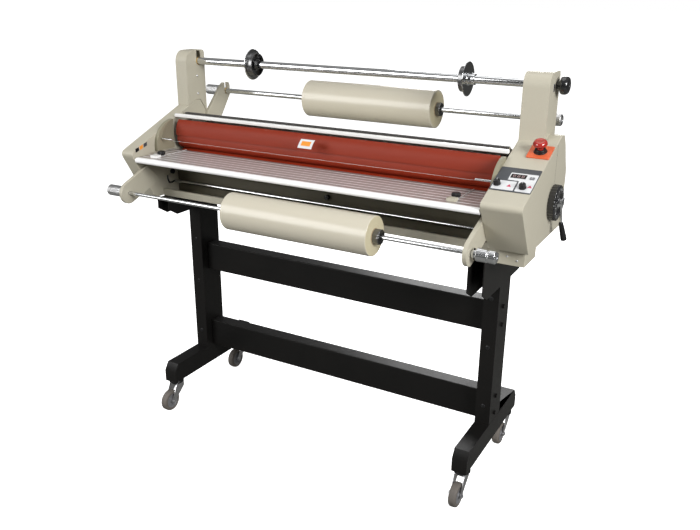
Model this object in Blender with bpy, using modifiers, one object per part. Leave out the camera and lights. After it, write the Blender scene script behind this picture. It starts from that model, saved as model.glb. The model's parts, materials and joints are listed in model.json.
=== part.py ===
"""Wide roll laminator on a wheeled stand. Metres, +Z up, +X to the operator's right, -Y to the operator.

The machine is laid out about the stand: X = 0 midway between the legs, Y = 0 at the middle of the
columns, Z = 0 on the floor. The root empty moves that point so that the origin of the file is the
middle of the bounding box, on the floor.
"""
import math

import bmesh
import bpy
from mathutils import Vector

CENTRE_X = 0.04424
CENTRE_Y = -0.0725
GAP = 0.0003

# Stand
LEG_OUT = 0.580
LEG_IN = 0.532
COLUMN_HALF = 0.050
FOOT_FRONT, FOOT_BACK = -0.2345, 0.2305
FOOT_LOW, FOOT_TOP = 0.1070, 0.1766
FOOT_CUT_Y, FOOT_CUT_Z = 0.018, 0.028
HEAD_FRONT, HEAD_BACK, HEAD_TOP = -0.205, 0.170, 0.7857
HEAD_LOW = {-1: 0.7255, 1: 0.6430}
HEAD_CUT_Y, HEAD_CUT_Z = 0.040, 0.024
SHEET = 0.003
WELD = 0.0004
BEAM_FRONT, BEAM_BACK = -0.020, 0.030
BEAM_TALL = 0.100
BEAM_LOWS = {"upper": 0.4805, "lower": 0.1765}
BOLT_Y, BOLT_RADIUS = -0.004, 0.0075

# Casters
CASTER_X = 0.556
CASTER_YS = {"front": -0.205, "rear": 0.185}
CASTER_TRAIL = 0.040
WHEEL_RADIUS, WHEEL_HALF = 0.038, 0.0125
AXLE_RADIUS = 0.0045
FORK_IN, FORK_PLATE = 0.0150, 0.0025

# Machine frame
INSIDE = 0.585
OUTSIDE = {-1: 0.632, 1: 0.696}
SLOPE = math.atan(0.40)
SLOPE_Y, SLOPE_Z = -0.2473, 0.9742
NIP_Z = 0.9382
HEAT_RADIUS, HEAT_Y = 0.036, -0.070
PULL_RADIUS, PULL_Y = 0.030, 0.055
JOURNAL = 0.010
NIP_LIFT = 0.010

# Table
TABLE_HALF = 0.5822
TABLE_TOP = 0.936

# Posts and film
POST_OUT = {-1: 0.632, 1: 0.659}
POST_FRONT, POST_BACK, POST_TOP = -0.012, 0.085, 1.251
REWIND_Y, REWIND_Z, REWIND_RADIUS = 0.054, 1.2145, 0.012
LOWER_Y, LOWER_Z, LOWER_SHAFT = -0.334, 0.832, 0.006
UPPER_Y, UPPER_Z, UPPER_SHAFT = 0.185, 1.100, 0.0085
ARM_NEAR, ARM_FAR = 0.5727, 0.5847
KNOB_RADIUS = 0.0178

# Controls
DIAL_Y, DIAL_Z, DIAL_RADIUS = -0.022, 0.908, 0.050
DIAL_NEAR, DIAL_FAR = 0.6963, 0.7180

FINISHES = {
    "beige": ((0.56, 0.53, 0.42), 0.45, 0.0),
    "black_steel": ((0.012, 0.012, 0.013), 0.5, 0.0),
    "zinc": ((0.62, 0.62, 0.60), 0.35, 1.0),
    "chrome": ((0.80, 0.80, 0.82), 0.12, 1.0),
    "aluminium": ((0.75, 0.76, 0.77), 0.35, 1.0),
    "steel": ((0.42, 0.42, 0.42), 0.35, 1.0),
    "rubber": ((0.16, 0.14, 0.12), 0.75, 0.0),
    "silicone": ((0.38, 0.045, 0.018), 0.5, 0.0),
    "black_plastic": ((0.012, 0.012, 0.012), 0.4, 0.0),
    "dark_panel": ((0.06, 0.055, 0.045), 0.5, 0.0),
    "film": ((0.78, 0.74, 0.62), 0.25, 0.0),
    "clear": ((0.75, 0.72, 0.68), 0.08, 0.0),
    "white_plastic": ((0.82, 0.82, 0.80), 0.3, 0.0),
    "orange": ((0.75, 0.13, 0.02), 0.4, 0.0),
    "red": ((0.60, 0.02, 0.01), 0.3, 0.0),
    "overlay": ((0.05, 0.05, 0.055), 0.4, 0.0),
    "green_board": ((0.02, 0.12, 0.04), 0.5, 0.0),
}

ALONG_X = (0.0, math.pi / 2, 0.0)
ALONG_Y = (-math.pi / 2, 0.0, 0.0)
ACROSS = (math.pi / 2, 0.0, math.pi / 2)
UPRIGHT = (0.0, 0.0, 0.0)


def clear_scene():
    for obj in list(bpy.data.objects):
        bpy.data.objects.remove(obj, do_unlink=True)


def new_collection(name):
    made = bpy.data.collections.new(name)
    bpy.context.scene.collection.children.link(made)
    return made


clear_scene()
PARTS = new_collection("roll_laminator")
CUTTERS = new_collection("cutters")


def add_empty(name, place, turn=UPRIGHT, parent=None):
    empty = bpy.data.objects.new(name, None)
    empty.empty_display_size = 0.05
    empty.location = place
    empty.rotation_euler = turn
    empty.parent = parent
    PARTS.objects.link(empty)
    return empty


ROOT = add_empty("root", (-CENTRE_X, -CENTRE_Y, 0.0))
PANEL = add_empty("slope_frame", (0.0, SLOPE_Y, SLOPE_Z), (SLOPE, 0.0, 0.0), ROOT)


def paint(obj, finish):
    colour, roughness, metallic = FINISHES[finish]
    material = bpy.data.materials.new(obj.name)
    material.use_nodes = True
    shader = material.node_tree.nodes["Principled BSDF"]
    shader.inputs["Base Color"].default_value = (*colour, 1.0)
    shader.inputs["Roughness"].default_value = roughness
    shader.inputs["Metallic"].default_value = metallic
    obj.data.materials.append(material)


def put(name, mesh, finish, place, turn=UPRIGHT, parent=None):
    """Makes the object: a part with a finish, or a cutter when finish is None."""
    obj = bpy.data.objects.new(name, mesh)
    obj.location = place
    obj.rotation_euler = turn
    obj.parent = parent or ROOT
    if finish is None:
        obj.hide_render = True
        obj.display_type = "WIRE"
        CUTTERS.objects.link(obj)
        return obj
    PARTS.objects.link(obj)
    paint(obj, finish)
    return obj


def smooth(obj, degrees=35):
    obj.data.shade_smooth()
    obj.data.set_sharp_from_angle(angle=math.radians(degrees))


def box(name, low, high, finish=None, origin=None, parent=None, bevel=0.0):
    """A box from corner low to corner high, with its origin at its middle unless one is given."""
    low = Vector(low)
    high = Vector(high)
    middle = (low + high) / 2
    origin = middle if origin is None else Vector(origin)
    mesh = bpy.data.meshes.new(name)
    work = bmesh.new()
    bmesh.ops.create_cube(work, size=1.0)
    bmesh.ops.scale(work, vec=high - low, verts=work.verts)
    bmesh.ops.translate(work, vec=middle - origin, verts=work.verts)
    work.to_mesh(mesh)
    work.free()
    obj = put(name, mesh, finish, origin, UPRIGHT, parent)
    if bevel:
        round_edges(obj, bevel)
    return obj


def rod(name, radius, start, end, finish=None, steps=20, origin=None, parent=None):
    """A plain cylinder from start to end."""
    start = Vector(start)
    end = Vector(end)
    origin = start if origin is None else Vector(origin)
    mesh = bpy.data.meshes.new(name)
    work = bmesh.new()
    bmesh.ops.create_cone(
        work, cap_ends=True, segments=steps, radius1=radius, radius2=radius, depth=(end - start).length
    )
    turn = (end - start).to_track_quat("Z", "Y").to_matrix()
    bmesh.ops.rotate(work, matrix=turn, verts=work.verts)
    bmesh.ops.translate(work, vec=(start + end) / 2 - origin, verts=work.verts)
    work.to_mesh(mesh)
    work.free()
    obj = put(name, mesh, finish, origin, UPRIGHT, parent)
    smooth(obj)
    return obj


def turned(name, profile, finish, place, turn=ALONG_X, steps=32, parent=None):
    """A turned piece. The profile is (radius, height) down its outer side, from top to bottom."""
    mesh = bpy.data.meshes.new(name)
    work = bmesh.new()
    points = [work.verts.new((radius, 0.0, height)) for radius, height in profile]
    pairs = list(zip(points, points[1:]))
    if min(radius for radius, _ in profile) > 0:
        pairs.append((points[-1], points[0]))
    for first, second in pairs:
        work.edges.new((first, second))
    work.to_mesh(mesh)
    work.free()
    obj = put(name, mesh, finish, place, turn, parent)
    screw = obj.modifiers.new("turn", "SCREW")
    screw.steps = steps
    screw.render_steps = steps
    screw.use_merge_vertices = True
    screw.merge_threshold = 0.00005
    smooth(obj)
    return obj


def as_mesh(curve):
    """The curve object's filled and extruded shape as a closed mesh."""
    graph = bpy.context.evaluated_depsgraph_get()
    mesh = bpy.data.meshes.new_from_object(curve.evaluated_get(graph))
    work = bmesh.new()
    work.from_mesh(mesh)
    bmesh.ops.remove_doubles(work, verts=work.verts, dist=0.00001)
    bmesh.ops.recalc_face_normals(work, faces=work.faces)
    work.to_mesh(mesh)
    work.free()
    return mesh


def plate(name, outline, near, far, finish=None, place=(0.0, 0.0, 0.0), turn=ACROSS, parent=None):
    """A flat outline, thick from near to far along its normal. ACROSS lays it in the YZ plane."""
    data = bpy.data.curves.new(name, "CURVE")
    data.dimensions = "2D"
    data.fill_mode = "BOTH"
    data.extrude = abs(far - near) / 2
    spline = data.splines.new("POLY")
    spline.points.add(len(outline) - 1)
    for point, (across, up) in zip(spline.points, outline):
        point.co = (across, up, 0.0, 1.0)
    spline.use_cyclic_u = True
    curve = bpy.data.objects.new(name + "_outline", data)
    bpy.context.scene.collection.objects.link(curve)
    bpy.context.view_layer.update()
    mesh = as_mesh(curve)
    bpy.data.objects.remove(curve, do_unlink=True)
    for vertex in mesh.vertices:
        vertex.co.z += (near + far) / 2
    obj = put(name, mesh, finish, place, turn, parent)
    smooth(obj)
    return obj


def boolean(obj, other, operation):
    modifier = obj.modifiers.new(other.name, "BOOLEAN")
    modifier.operation = operation
    modifier.object = other
    modifier.solver = "EXACT"


def cut(obj, *cutters):
    for cutter in cutters:
        boolean(obj, cutter, "DIFFERENCE")
    return obj


def join(obj, *others):
    for other in others:
        boolean(obj, other, "UNION")
    return obj


def round_edges(obj, width, segments=2, degrees=50):
    bevel = obj.modifiers.new("edges", "BEVEL")
    bevel.width = width
    bevel.segments = segments
    bevel.limit_method = "ANGLE"
    bevel.angle_limit = math.radians(degrees)
    bevel.harden_normals = False
    smooth(obj)


def arc(centre, radius, first, last, steps):
    """Points on an arc, with angles in degrees."""
    points = []
    for step in range(steps + 1):
        angle = math.radians(first + (last - first) * step / steps)
        points.append((centre[0] + radius * math.cos(angle), centre[1] + radius * math.sin(angle)))
    return points


def fillet(points, radii, steps=5):
    """The outline with corner number i rounded to radii[i]."""
    out = []
    for index, corner in enumerate(points):
        radius = radii.get(index, 0.0)
        if not radius:
            out.append(corner)
            continue
        here = Vector(corner)
        back = (Vector(points[index - 1]) - here).normalized()
        ahead = (Vector(points[(index + 1) % len(points)]) - here).normalized()
        half = back.angle(ahead) / 2
        centre = here + (back + ahead).normalized() * radius / math.sin(half)
        start = here + back * radius / math.tan(half) - centre
        end = here + ahead * radius / math.tan(half) - centre
        first = math.degrees(math.atan2(start.y, start.x))
        sweep = math.degrees(math.atan2(end.y, end.x)) - first
        sweep = (sweep + 180) % 360 - 180
        out += arc(centre, radius, first, first + sweep, steps)
    return out


def inset(points, gap):
    """The outline moved inwards by gap."""
    pairs = zip(points, points[1:] + points[:1])
    area = sum(a[0] * b[1] - b[0] * a[1] for a, b in pairs)
    side = 1 if area > 0 else -1
    out = []
    for index, corner in enumerate(points):
        here = Vector(corner)
        back = (here - Vector(points[index - 1])).normalized()
        ahead = (Vector(points[(index + 1) % len(points)]) - here).normalized()
        normal = Vector((-back.y, back.x)) * side
        bisector = (normal + Vector((-ahead.y, ahead.x)) * side).normalized()
        moved = here + bisector * gap / bisector.dot(normal)
        out.append((moved.x, moved.y))
    return out


def slope_z(y):
    """Height of the housings' sloping top at y."""
    return SLOPE_Z + math.tan(SLOPE) * (y - SLOPE_Y)


def sided(side, near, far):
    """The X range between two distances from the middle, on the side -1 or 1."""
    return tuple(sorted((side * near, side * far)))


def label(side):
    return "left" if side < 0 else "right"


def head_outline(side):
    """Side view of the channel on top of a column, with its lower corners cut off."""
    low = HEAD_LOW[side]
    return [
        (HEAD_FRONT + HEAD_CUT_Y, low),
        (HEAD_BACK - HEAD_CUT_Y, low),
        (HEAD_BACK, low + HEAD_CUT_Z),
        (HEAD_BACK, HEAD_TOP),
        (HEAD_FRONT, HEAD_TOP),
        (HEAD_FRONT, low + HEAD_CUT_Z),
    ]


def foot_outline():
    """Side view of the foot beam, with its upper corners cut off."""
    cut_z = FOOT_TOP - FOOT_CUT_Z
    return [
        (FOOT_FRONT, FOOT_LOW),
        (FOOT_BACK, FOOT_LOW),
        (FOOT_BACK, cut_z),
        (FOOT_BACK - FOOT_CUT_Y, FOOT_TOP),
        (FOOT_FRONT + FOOT_CUT_Y, FOOT_TOP),
        (FOOT_FRONT, cut_z),
    ]


def make_leg(side):
    """Column and foot of square tube with a channel head, open below, and the four beam bolt heads."""
    name = f"leg_{label(side)}"
    leg = plate(name, head_outline(side), *sided(side, LEG_IN, LEG_OUT), "black_steel")
    near, far = sided(side, LEG_IN + SHEET, LEG_OUT - SHEET)
    top = HEAD_TOP - SHEET
    inner = COLUMN_HALF - 0.002
    spans = {"front": (HEAD_FRONT - 0.01, -inner), "rear": (inner, HEAD_BACK + 0.01)}
    for end, (y0, y1) in spans.items():
        cutter = box(f"{name}_{end}_channel", (near, y0, HEAD_LOW[side] - 0.01), (far, y1, top))
        cut(leg, cutter)
    near, far = sided(side, LEG_IN + WELD, LEG_OUT - WELD)
    half = COLUMN_HALF
    column = box(f"{name}_column", (near, -half, FOOT_TOP - 0.01), (far, half, HEAD_TOP - SHEET / 2))
    foot = plate(f"{name}_foot", foot_outline(), *sided(side, LEG_IN, LEG_OUT))
    join(leg, column, foot)
    near, far = sided(side, LEG_IN + SHEET, LEG_OUT - SHEET)
    half = COLUMN_HALF - SHEET
    cut(leg, box(f"{name}_column_bore", (near, -half, FOOT_LOW + SHEET), (far, half, HEAD_TOP - SHEET)))
    cut(leg, plate(f"{name}_foot_bore", inset(foot_outline(), SHEET), near, far))
    for end, y in CASTER_YS.items():
        low = (side * CASTER_X, y, FOOT_LOW - 0.01)
        high = (side * CASTER_X, y, FOOT_LOW + 0.03)
        cut(leg, rod(f"{name}_{end}_socket", 0.0063, low, high))
    for beam, low in BEAM_LOWS.items():
        for number, rise in enumerate((0.024, 0.084)):
            start = (side * (LEG_OUT - 0.002), BOLT_Y, low + rise)
            end = (side * (LEG_OUT + 0.005), BOLT_Y, low + rise)
            join(leg, rod(f"{name}_{beam}_bolt{number}", BOLT_RADIUS, start, end, steps=6))


def make_beams():
    """The two cross beams, square tubes that are open at both ends."""
    for name, low in BEAM_LOWS.items():
        near = (-LEG_IN + GAP, BEAM_FRONT, low)
        far = (LEG_IN - GAP, BEAM_BACK, low + BEAM_TALL)
        beam = box(f"beam_{name}", near, far, "black_steel", bevel=0.003)
        near = (-LEG_IN, BEAM_FRONT + SHEET, low + SHEET)
        far = (LEG_IN, BEAM_BACK - SHEET, low + BEAM_TALL - SHEET)
        cut(beam, box(f"beam_{name}_bore", near, far))


def make_caster(side, end):
    """A swivel fork with its race and stem, and a wheel that trails towards the operator."""
    tag = f"{end}_{label(side)}"
    pivot = Vector((side * CASTER_X, CASTER_YS[end], FOOT_LOW))
    fork_name = f"caster_fork_{tag}"
    race = [
        (0.0, 0.026),
        (0.006, 0.026),
        (0.006, -GAP),
        (0.020, -GAP),
        (0.024, -0.004),
        (0.024, -0.011),
        (0.020, -0.016),
        (0.0, -0.016),
    ]
    fork = turned(fork_name, race, "zinc", pivot, UPRIGHT, 16)
    axle_z = WHEEL_RADIUS - FOOT_LOW
    arm = [(-CASTER_TRAIL - 0.010, axle_z - 0.002), (-CASTER_TRAIL, axle_z - 0.011)]
    arm += [(-CASTER_TRAIL + 0.010, axle_z - 0.002), (0.019, -0.030), (0.019, -0.013), (-0.019, -0.013)]
    for number, inner in enumerate((FORK_IN, -FORK_IN - FORK_PLATE)):
        cheek_name = f"{fork_name}_cheek{number}"
        cheek = plate(cheek_name, arm, inner, inner + FORK_PLATE, None, pivot)
        join(fork, cheek)
    bridge = box(
        f"{fork_name}_bridge",
        pivot + Vector((-FORK_IN - 0.001, -0.0185, -0.0178)),
        pivot + Vector((FORK_IN + 0.001, 0.0185, -0.0138)),
    )
    axle = pivot + Vector((0.0, -CASTER_TRAIL, axle_z))
    reach = Vector((FORK_IN + FORK_PLATE + 0.006, 0.0, 0.0))
    bolt = rod(f"{fork_name}_axle", AXLE_RADIUS, axle - reach, axle + reach, steps=8)
    join(fork, bridge, bolt)
    half = [(AXLE_RADIUS + 0.0004, WHEEL_HALF), (0.026, WHEEL_HALF - 0.0015), (0.028, WHEEL_HALF)]
    half += [(0.034, WHEEL_HALF - 0.001), (WHEEL_RADIUS, WHEEL_HALF - 0.005)]
    tyre = half + [(radius, -height) for radius, height in reversed(half)]
    turned(f"caster_wheel_{tag}", tyre, "rubber", axle, ALONG_X, 20)


def housing_outline(low):
    """Side view of a housing: nose, sloping top, falling back and undercut front."""
    nose = (-0.3035, slope_z(-0.3035))
    corners = [
        (-0.2080, low),
        nose,
        (0.0270, slope_z(0.0270)),
        (0.0520, 1.0825),
        (0.0735, 1.0530),
        (0.0940, 1.0060),
        (0.1120, 0.9720),
        (0.1120, low),
    ]
    return fillet(corners, {1: 0.014, 2: 0.012, 3: 0.012, 5: 0.05, 6: 0.03}, 3)


def shield_bracket(side):
    """The curved plate on a housing's inner wall, which backs the end of the shield."""
    rim = [(-0.1080, 0.9420), (-0.1080, 1.0380)]
    rim += arc((-0.1080, 0.9520), 0.0860, 90, 172, 8)
    rim += [(-0.1935, 0.9420)]
    return plate(f"shield_bracket_{label(side)}", rim, *sided(side, 0.5735, INSIDE + 0.001))


def base_box():
    """The low box under the right housing."""
    body = box("base_box", (0.5870, -0.190, 0.7645), (0.6835, -0.088, 0.8095))
    return body


def make_housing(side):
    """A hollow side housing. The roller journals enter it through holes in its inner wall."""
    name = f"housing_{label(side)}"
    low = 0.8085 if side > 0 else 0.7863
    outline = housing_outline(low)
    body = plate(name, outline, *sided(side, INSIDE, OUTSIDE[side]), "beige")
    round_edges(body, 0.003, 1)
    near, far = sided(side, INSIDE + SHEET, OUTSIDE[side] - SHEET)
    if side > 0:
        join(body, base_box())
    join(body, shield_bracket(side))
    cut(body, plate(f"{name}_cavity", inset(outline, SHEET), near, far))
    bores = {
        "heat": (HEAT_Y, NIP_Z - HEAT_RADIUS - GAP / 2),
        "pull_low": (PULL_Y, NIP_Z - PULL_RADIUS - GAP / 2),
        "pull_high": (PULL_Y, NIP_Z + PULL_RADIUS + GAP / 2),
    }
    for bore, (y, z) in bores.items():
        start = (side * (INSIDE - 0.01), y, z)
        end = (side * (INSIDE + SHEET + 0.005), y, z)
        cut(body, rod(f"{name}_bore_{bore}", JOURNAL + 0.0006, start, end, steps=16))


def post_outline():
    """Side view of a post. Its foot follows the top of the housing."""
    bottom = [(POST_FRONT, slope_z(POST_FRONT) + 0.0006), (0.0270, slope_z(0.0270) + 0.0006)]
    bottom += [(0.0530, 1.0835), (0.0750, 1.0535), (POST_BACK, 1.0310)]
    top = [(POST_BACK, POST_TOP), (POST_FRONT, POST_TOP)]
    return fillet(bottom + top, {5: 0.012, 6: 0.036}, 6)


def post_cavity(side):
    """The hollow inside a post, which the rod's hole or slot opens."""
    near, far = sided(side, INSIDE + SHEET, POST_OUT[side] - SHEET)
    return plate(f"post_{label(side)}_cavity", inset(post_outline(), SHEET), near, far)


def make_post(side):
    name = f"post_{label(side)}"
    body = plate(name, post_outline(), *sided(side, INSIDE, POST_OUT[side]), "beige")
    inner = side * (INSIDE - 0.01)
    if side > 0:
        round_edges(body, 0.002, 1)
        outer = POST_OUT[side] + 0.01
        hole = rod(f"{name}_hole", 0.0106, (inner, REWIND_Y, REWIND_Z), (outer, REWIND_Y, REWIND_Z))
        cut(body, hole)
        cut(body, post_cavity(side))
        return
    outer = side * (INSIDE + 0.020)
    half = 0.0106
    slot = box(f"{name}_slot", (outer, REWIND_Y - half, REWIND_Z), (inner, REWIND_Y + half, POST_TOP + 0.01))
    seat = rod(f"{name}_seat", half, (inner, REWIND_Y, REWIND_Z), (outer, REWIND_Y, REWIND_Z))
    hole = rod(f"{name}_hole", 0.004, (inner, 0.042, 1.105), (side * (INSIDE + 0.006), 0.042, 1.105), steps=12)
    cut(body, slot, seat, hole, post_cavity(side))
    round_edges(body, 0.0015, 1, 70)


def make_front():
    """One folded sheet, the channel at its foot and the panel under the table, and the idler rod."""
    inner = INSIDE - GAP
    fold = [(-0.1580, 0.8085), (-0.1680, 0.8085), (-0.1680, 0.7860), (-0.0870, 0.7860)]
    fold += [(-0.0870, 0.8569), (-0.1105, 0.8789), (-0.1105, 0.9150), (-0.1125, 0.9150)]
    back = [(-0.1125, 0.8780), (-0.0890, 0.8560), (-0.0890, 0.7880), (-0.1660, 0.7880)]
    back += [(-0.1660, 0.8065), (-0.1580, 0.8065)]
    panel = plate("front_panel", fold + back, -inner, inner, "beige")
    knob = rod("front_panel_knob", 0.007, (0.0206, -0.101, 0.8450), (0.0206, -0.088, 0.8450), steps=16)
    join(panel, knob)
    turned(
        "idler_rod",
        [(0.0, inner), (0.0065, inner), (0.0065, -inner), (0.0, -inner)],
        "chrome",
        (0.0, -0.1060, 0.8240),
        ALONG_X,
        16,
    )


def make_rear():
    """Rear cover below the exit, and the top cover over the pull rollers, with its raised front rim."""
    inner = INSIDE - GAP
    rear = [(0.096, 0.7860), (0.110, 0.7860), (0.110, 0.9050), (0.104, 0.9230), (0.0915, 0.9290)]
    rear += [(0.0905, 0.9272), (0.1025, 0.9216), (0.108, 0.9046), (0.108, 0.7880), (0.096, 0.7880)]
    plate("rear_cover", rear, -inner, inner, "beige")
    wide = ARM_NEAR - GAP
    top = [(-0.046, 1.0510), (-0.037, 1.0510), (-0.037, 1.0470), (-0.030, 1.0450), (0.088, 1.0080)]
    top += [(0.106, 0.9700), (0.106, 0.9520)]
    under = [(0.104, 0.9520), (0.104, 0.9696), (0.0866, 1.0063), (-0.0303, 1.0430), (-0.046, 1.0430)]
    plate("top_cover", top + under, -wide, wide, "beige")


def table_outline():
    """Section of the table: grooved top, bullnose front, thin back."""
    nose_z = TABLE_TOP - 0.0085
    points = [(-0.106, TABLE_TOP - 0.004), (-0.106, TABLE_TOP)]
    for number in range(6):
        y = -0.126 - 0.0255 * number
        points += [(y + 0.0016, TABLE_TOP), (y, TABLE_TOP - 0.0016), (y - 0.0016, TABLE_TOP)]
    points += arc((-0.2825, nose_z), 0.0085, 90, 270, 6)
    points += [(-0.268, TABLE_TOP - 0.017), (-0.268, TABLE_TOP - 0.004)]
    return points


def make_table():
    plate("feed_table", table_outline(), -TABLE_HALF, TABLE_HALF, "aluminium")


def make_guide(side, x, finish):
    """A paper guide: a clamp block at the front, a flat blade to the rear and its clamp knob."""
    name = f"paper_guide_{label(side)}"
    low = TABLE_TOP + GAP
    origin = (x, -0.250, low)
    body = box(name, (x - 0.013, -0.262, low), (x + 0.013, -0.238, low + 0.008), finish, origin)
    blade = box(f"{name}_blade", (x - 0.009, -0.245, low), (x + 0.009, -0.110, low + 0.003))
    join(body, blade)
    base = low + 0.003 + GAP
    knob = [(0.0, 0.014), (0.0105, 0.014), (0.0125, 0.011), (0.0125, 0.003), (0.0100, 0.0), (0.0, 0.0)]
    turned(f"guide_knob_{label(side)}", knob, "black_plastic", (x, -0.2230, base), UPRIGHT, 20)


def shield_outline():
    """Section of the clear shield: a sheet curved over the front of the top roller."""
    centre = (-0.0985, 0.9630)
    outer = arc(centre, 0.0775, 78, 168, 12)
    inner = arc(centre, 0.0750, 168, 78, 12)
    return outer + inner


def make_shield():
    """Clear shield with its two corner pins, and the white bar above it."""
    pivot = (0.0, -0.0830, 1.0440)
    outline = [(y - pivot[1], z - pivot[2]) for y, z in shield_outline()]
    shield = plate("shield", outline, -0.5700, 0.5700, "clear", pivot)
    y, z = -0.1735, 0.9820
    for side in (-1, 1):
        start = (side * 0.525, y, z)
        end = (side * 0.5715, y, z)
        pin = rod(f"shield_pin_{label(side)}", 0.0030, start, end, steps=12)
        join(shield, pin)
    box("shield_bar", (-0.5840, -0.0900, 1.0406), (0.5840, -0.0760, 1.0520), "white_plastic", bevel=0.002)


def roller(name, radius, y, z, finish, journal_end, sprocket):
    """A roller with its journals, and a sprocket on the right-hand journal when it is driven."""
    face = 0.5600
    down = [(0.0, journal_end)]
    if sprocket:
        down += [(JOURNAL, journal_end), (JOURNAL, 0.6140), (sprocket, 0.6140)]
        down += [(sprocket, 0.6060), (JOURNAL, 0.6060)]
    else:
        down += [(JOURNAL, journal_end)]
    down += [(JOURNAL, face), (radius - 0.002, face), (radius, face - 0.002)]
    left = -min(journal_end, 0.6200)
    down += [(radius, 0.002 - face), (radius - 0.002, -face), (JOURNAL, -face), (JOURNAL, left), (0.0, left)]
    return turned(name, down, finish, (0.0, y, z), ALONG_X, 24)


def make_rollers():
    roller("heat_roller_bottom", HEAT_RADIUS, HEAT_Y, NIP_Z - HEAT_RADIUS - GAP / 2, "silicone", 0.620, 0.026)
    roller("heat_roller_top", HEAT_RADIUS, HEAT_Y, NIP_Z + HEAT_RADIUS + GAP / 2, "silicone", 0.5720, 0.0)
    roller("pull_roller_bottom", PULL_RADIUS, PULL_Y, NIP_Z - PULL_RADIUS - GAP / 2, "rubber", 0.620, 0.024)
    roller("pull_roller_top", PULL_RADIUS, PULL_Y, NIP_Z + PULL_RADIUS + GAP / 2, "rubber", 0.620, 0.024)


def make_yoke():
    """The nip yoke: a cross tube with a bearing plate at each end, which lifts the top roller."""
    z = NIP_Z + HEAT_RADIUS + GAP / 2
    origin = (0.0, HEAT_Y, z)
    tube = rod("nip_yoke", 0.0060, (-0.5700, -0.0330, 1.0180), (0.5700, -0.0330, 1.0180), "steel", 12, origin)
    outline = [(-0.090, z - 0.016), (-0.050, z - 0.016), (-0.025, 1.0100), (-0.025, 1.0260)]
    outline += [(-0.041, 1.0260), (-0.090, z + 0.016)]
    for side in (-1, 1):
        name = f"nip_yoke_{label(side)}"
        bearing = plate(name, outline, *sided(side, 0.5645, 0.5715))
        join(tube, bearing)
    for side in (-1, 1):
        start = (side * 0.556, HEAT_Y, z)
        end = (side * 0.580, HEAT_Y, z)
        cut(tube, rod(f"nip_yoke_bore_{label(side)}", JOURNAL + 0.0004, start, end, steps=20))


def make_drive():
    """Gear motor and control board inside the right housing, and the power inlet on its back."""
    motor = box("gear_motor", (0.6250, -0.030, 0.8400), (0.6650, 0.030, 0.8800), "steel", bevel=0.002)
    can = rod("gear_motor_can", 0.020, (0.6450, 0.025, 0.8600), (0.6450, 0.085, 0.8600), steps=16)
    shaft = rod("gear_motor_shaft", 0.004, (0.6100, -0.012, 0.8600), (0.6300, -0.012, 0.8600), steps=12)
    join(motor, can, shaft)
    board = box("control_board", (0.6000, 0.012, -0.022), (0.6880, 0.098, -0.0202), "green_board", parent=PANEL)
    relay = box("control_board_relay", (0.6150, 0.030, -0.0295), (0.6350, 0.050, -0.0215), parent=PANEL)
    heat_sink = box("control_board_sink", (0.6500, 0.060, -0.0335), (0.6750, 0.085, -0.0215), parent=PANEL)
    join(board, relay, heat_sink)
    inlet = box("power_inlet", (0.6150, 0.1123, 0.8350), (0.6650, 0.1200, 0.8700), "black_plastic", bevel=0.001)
    cut(inlet, box("power_inlet_recess", (0.6260, 0.1150, 0.8420), (0.6540, 0.1300, 0.8630)))


def make_lower_arm(side):
    """The lower film arm: a thick plate that reaches forward and down, with a bored round end."""
    root = [(-0.1900, 0.8480), (-0.2450, 0.9030), (-0.2560, 0.9000)]
    tip = arc((LOWER_Y, LOWER_Z), 0.0350, 112, 300, 12)
    outline = fillet(root + tip, {0: 0.008})
    name = f"film_arm_lower_{label(side)}"
    arm = plate(name, outline, *sided(side, ARM_NEAR, ARM_FAR), "beige")
    near = (side * (ARM_NEAR - 0.01), LOWER_Y, LOWER_Z)
    far = (side * (ARM_FAR + 0.01), LOWER_Y, LOWER_Z)
    cut(arm, rod(f"{name}_bore", LOWER_SHAFT + 0.0004, near, far, steps=16))


def make_upper_arm(side):
    """The upper film arm: a plate that rises behind the housing, with an open notch at its tip."""
    outline = [(0.0620, 0.9950), (0.1000, 0.9750), (0.1560, 1.0180), (0.2060, 1.0860), (0.2060, 1.1180)]
    outline += [(0.2000, 1.1300), (0.1700, 1.1300), (0.1500, 1.1160), (0.0760, 1.0400)]
    outline = fillet(outline, {4: 0.008, 5: 0.006, 6: 0.008})
    name = f"film_arm_upper_{label(side)}"
    arm = plate(name, outline, *sided(side, ARM_NEAR, ARM_FAR), "beige")
    half = UPPER_SHAFT + 0.0004
    low_x, high_x = sided(side, ARM_NEAR - 0.01, ARM_FAR + 0.01)
    notch = box(f"{name}_notch", (low_x, UPPER_Y - half, UPPER_Z), (high_x, UPPER_Y + half, 1.15))
    seat = rod(f"{name}_seat", half, (low_x, UPPER_Y, UPPER_Z), (high_x, UPPER_Y, UPPER_Z), steps=16)
    cut(arm, notch, seat)


def make_shaft(name, radius, place):
    """A film shaft with a fixed collar on its left end and a plain right end."""
    left = -0.6566
    profile = [
        (0.0, 0.6500),
        (radius - 0.001, 0.6500),
        (radius - 0.001, ARM_FAR + 0.0015),
        (radius, ARM_FAR + 0.0010),
        (radius, -ARM_FAR - GAP),
        (0.0110, -ARM_FAR - GAP),
        (0.0110, -0.6000),
        (0.0168, -0.6000),
        (0.0178, -0.6010),
        (0.0178, left + 0.001),
        (0.0168, left),
        (0.0, left),
    ]
    turned(name, profile, "chrome", place, ALONG_X, 16)


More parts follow.
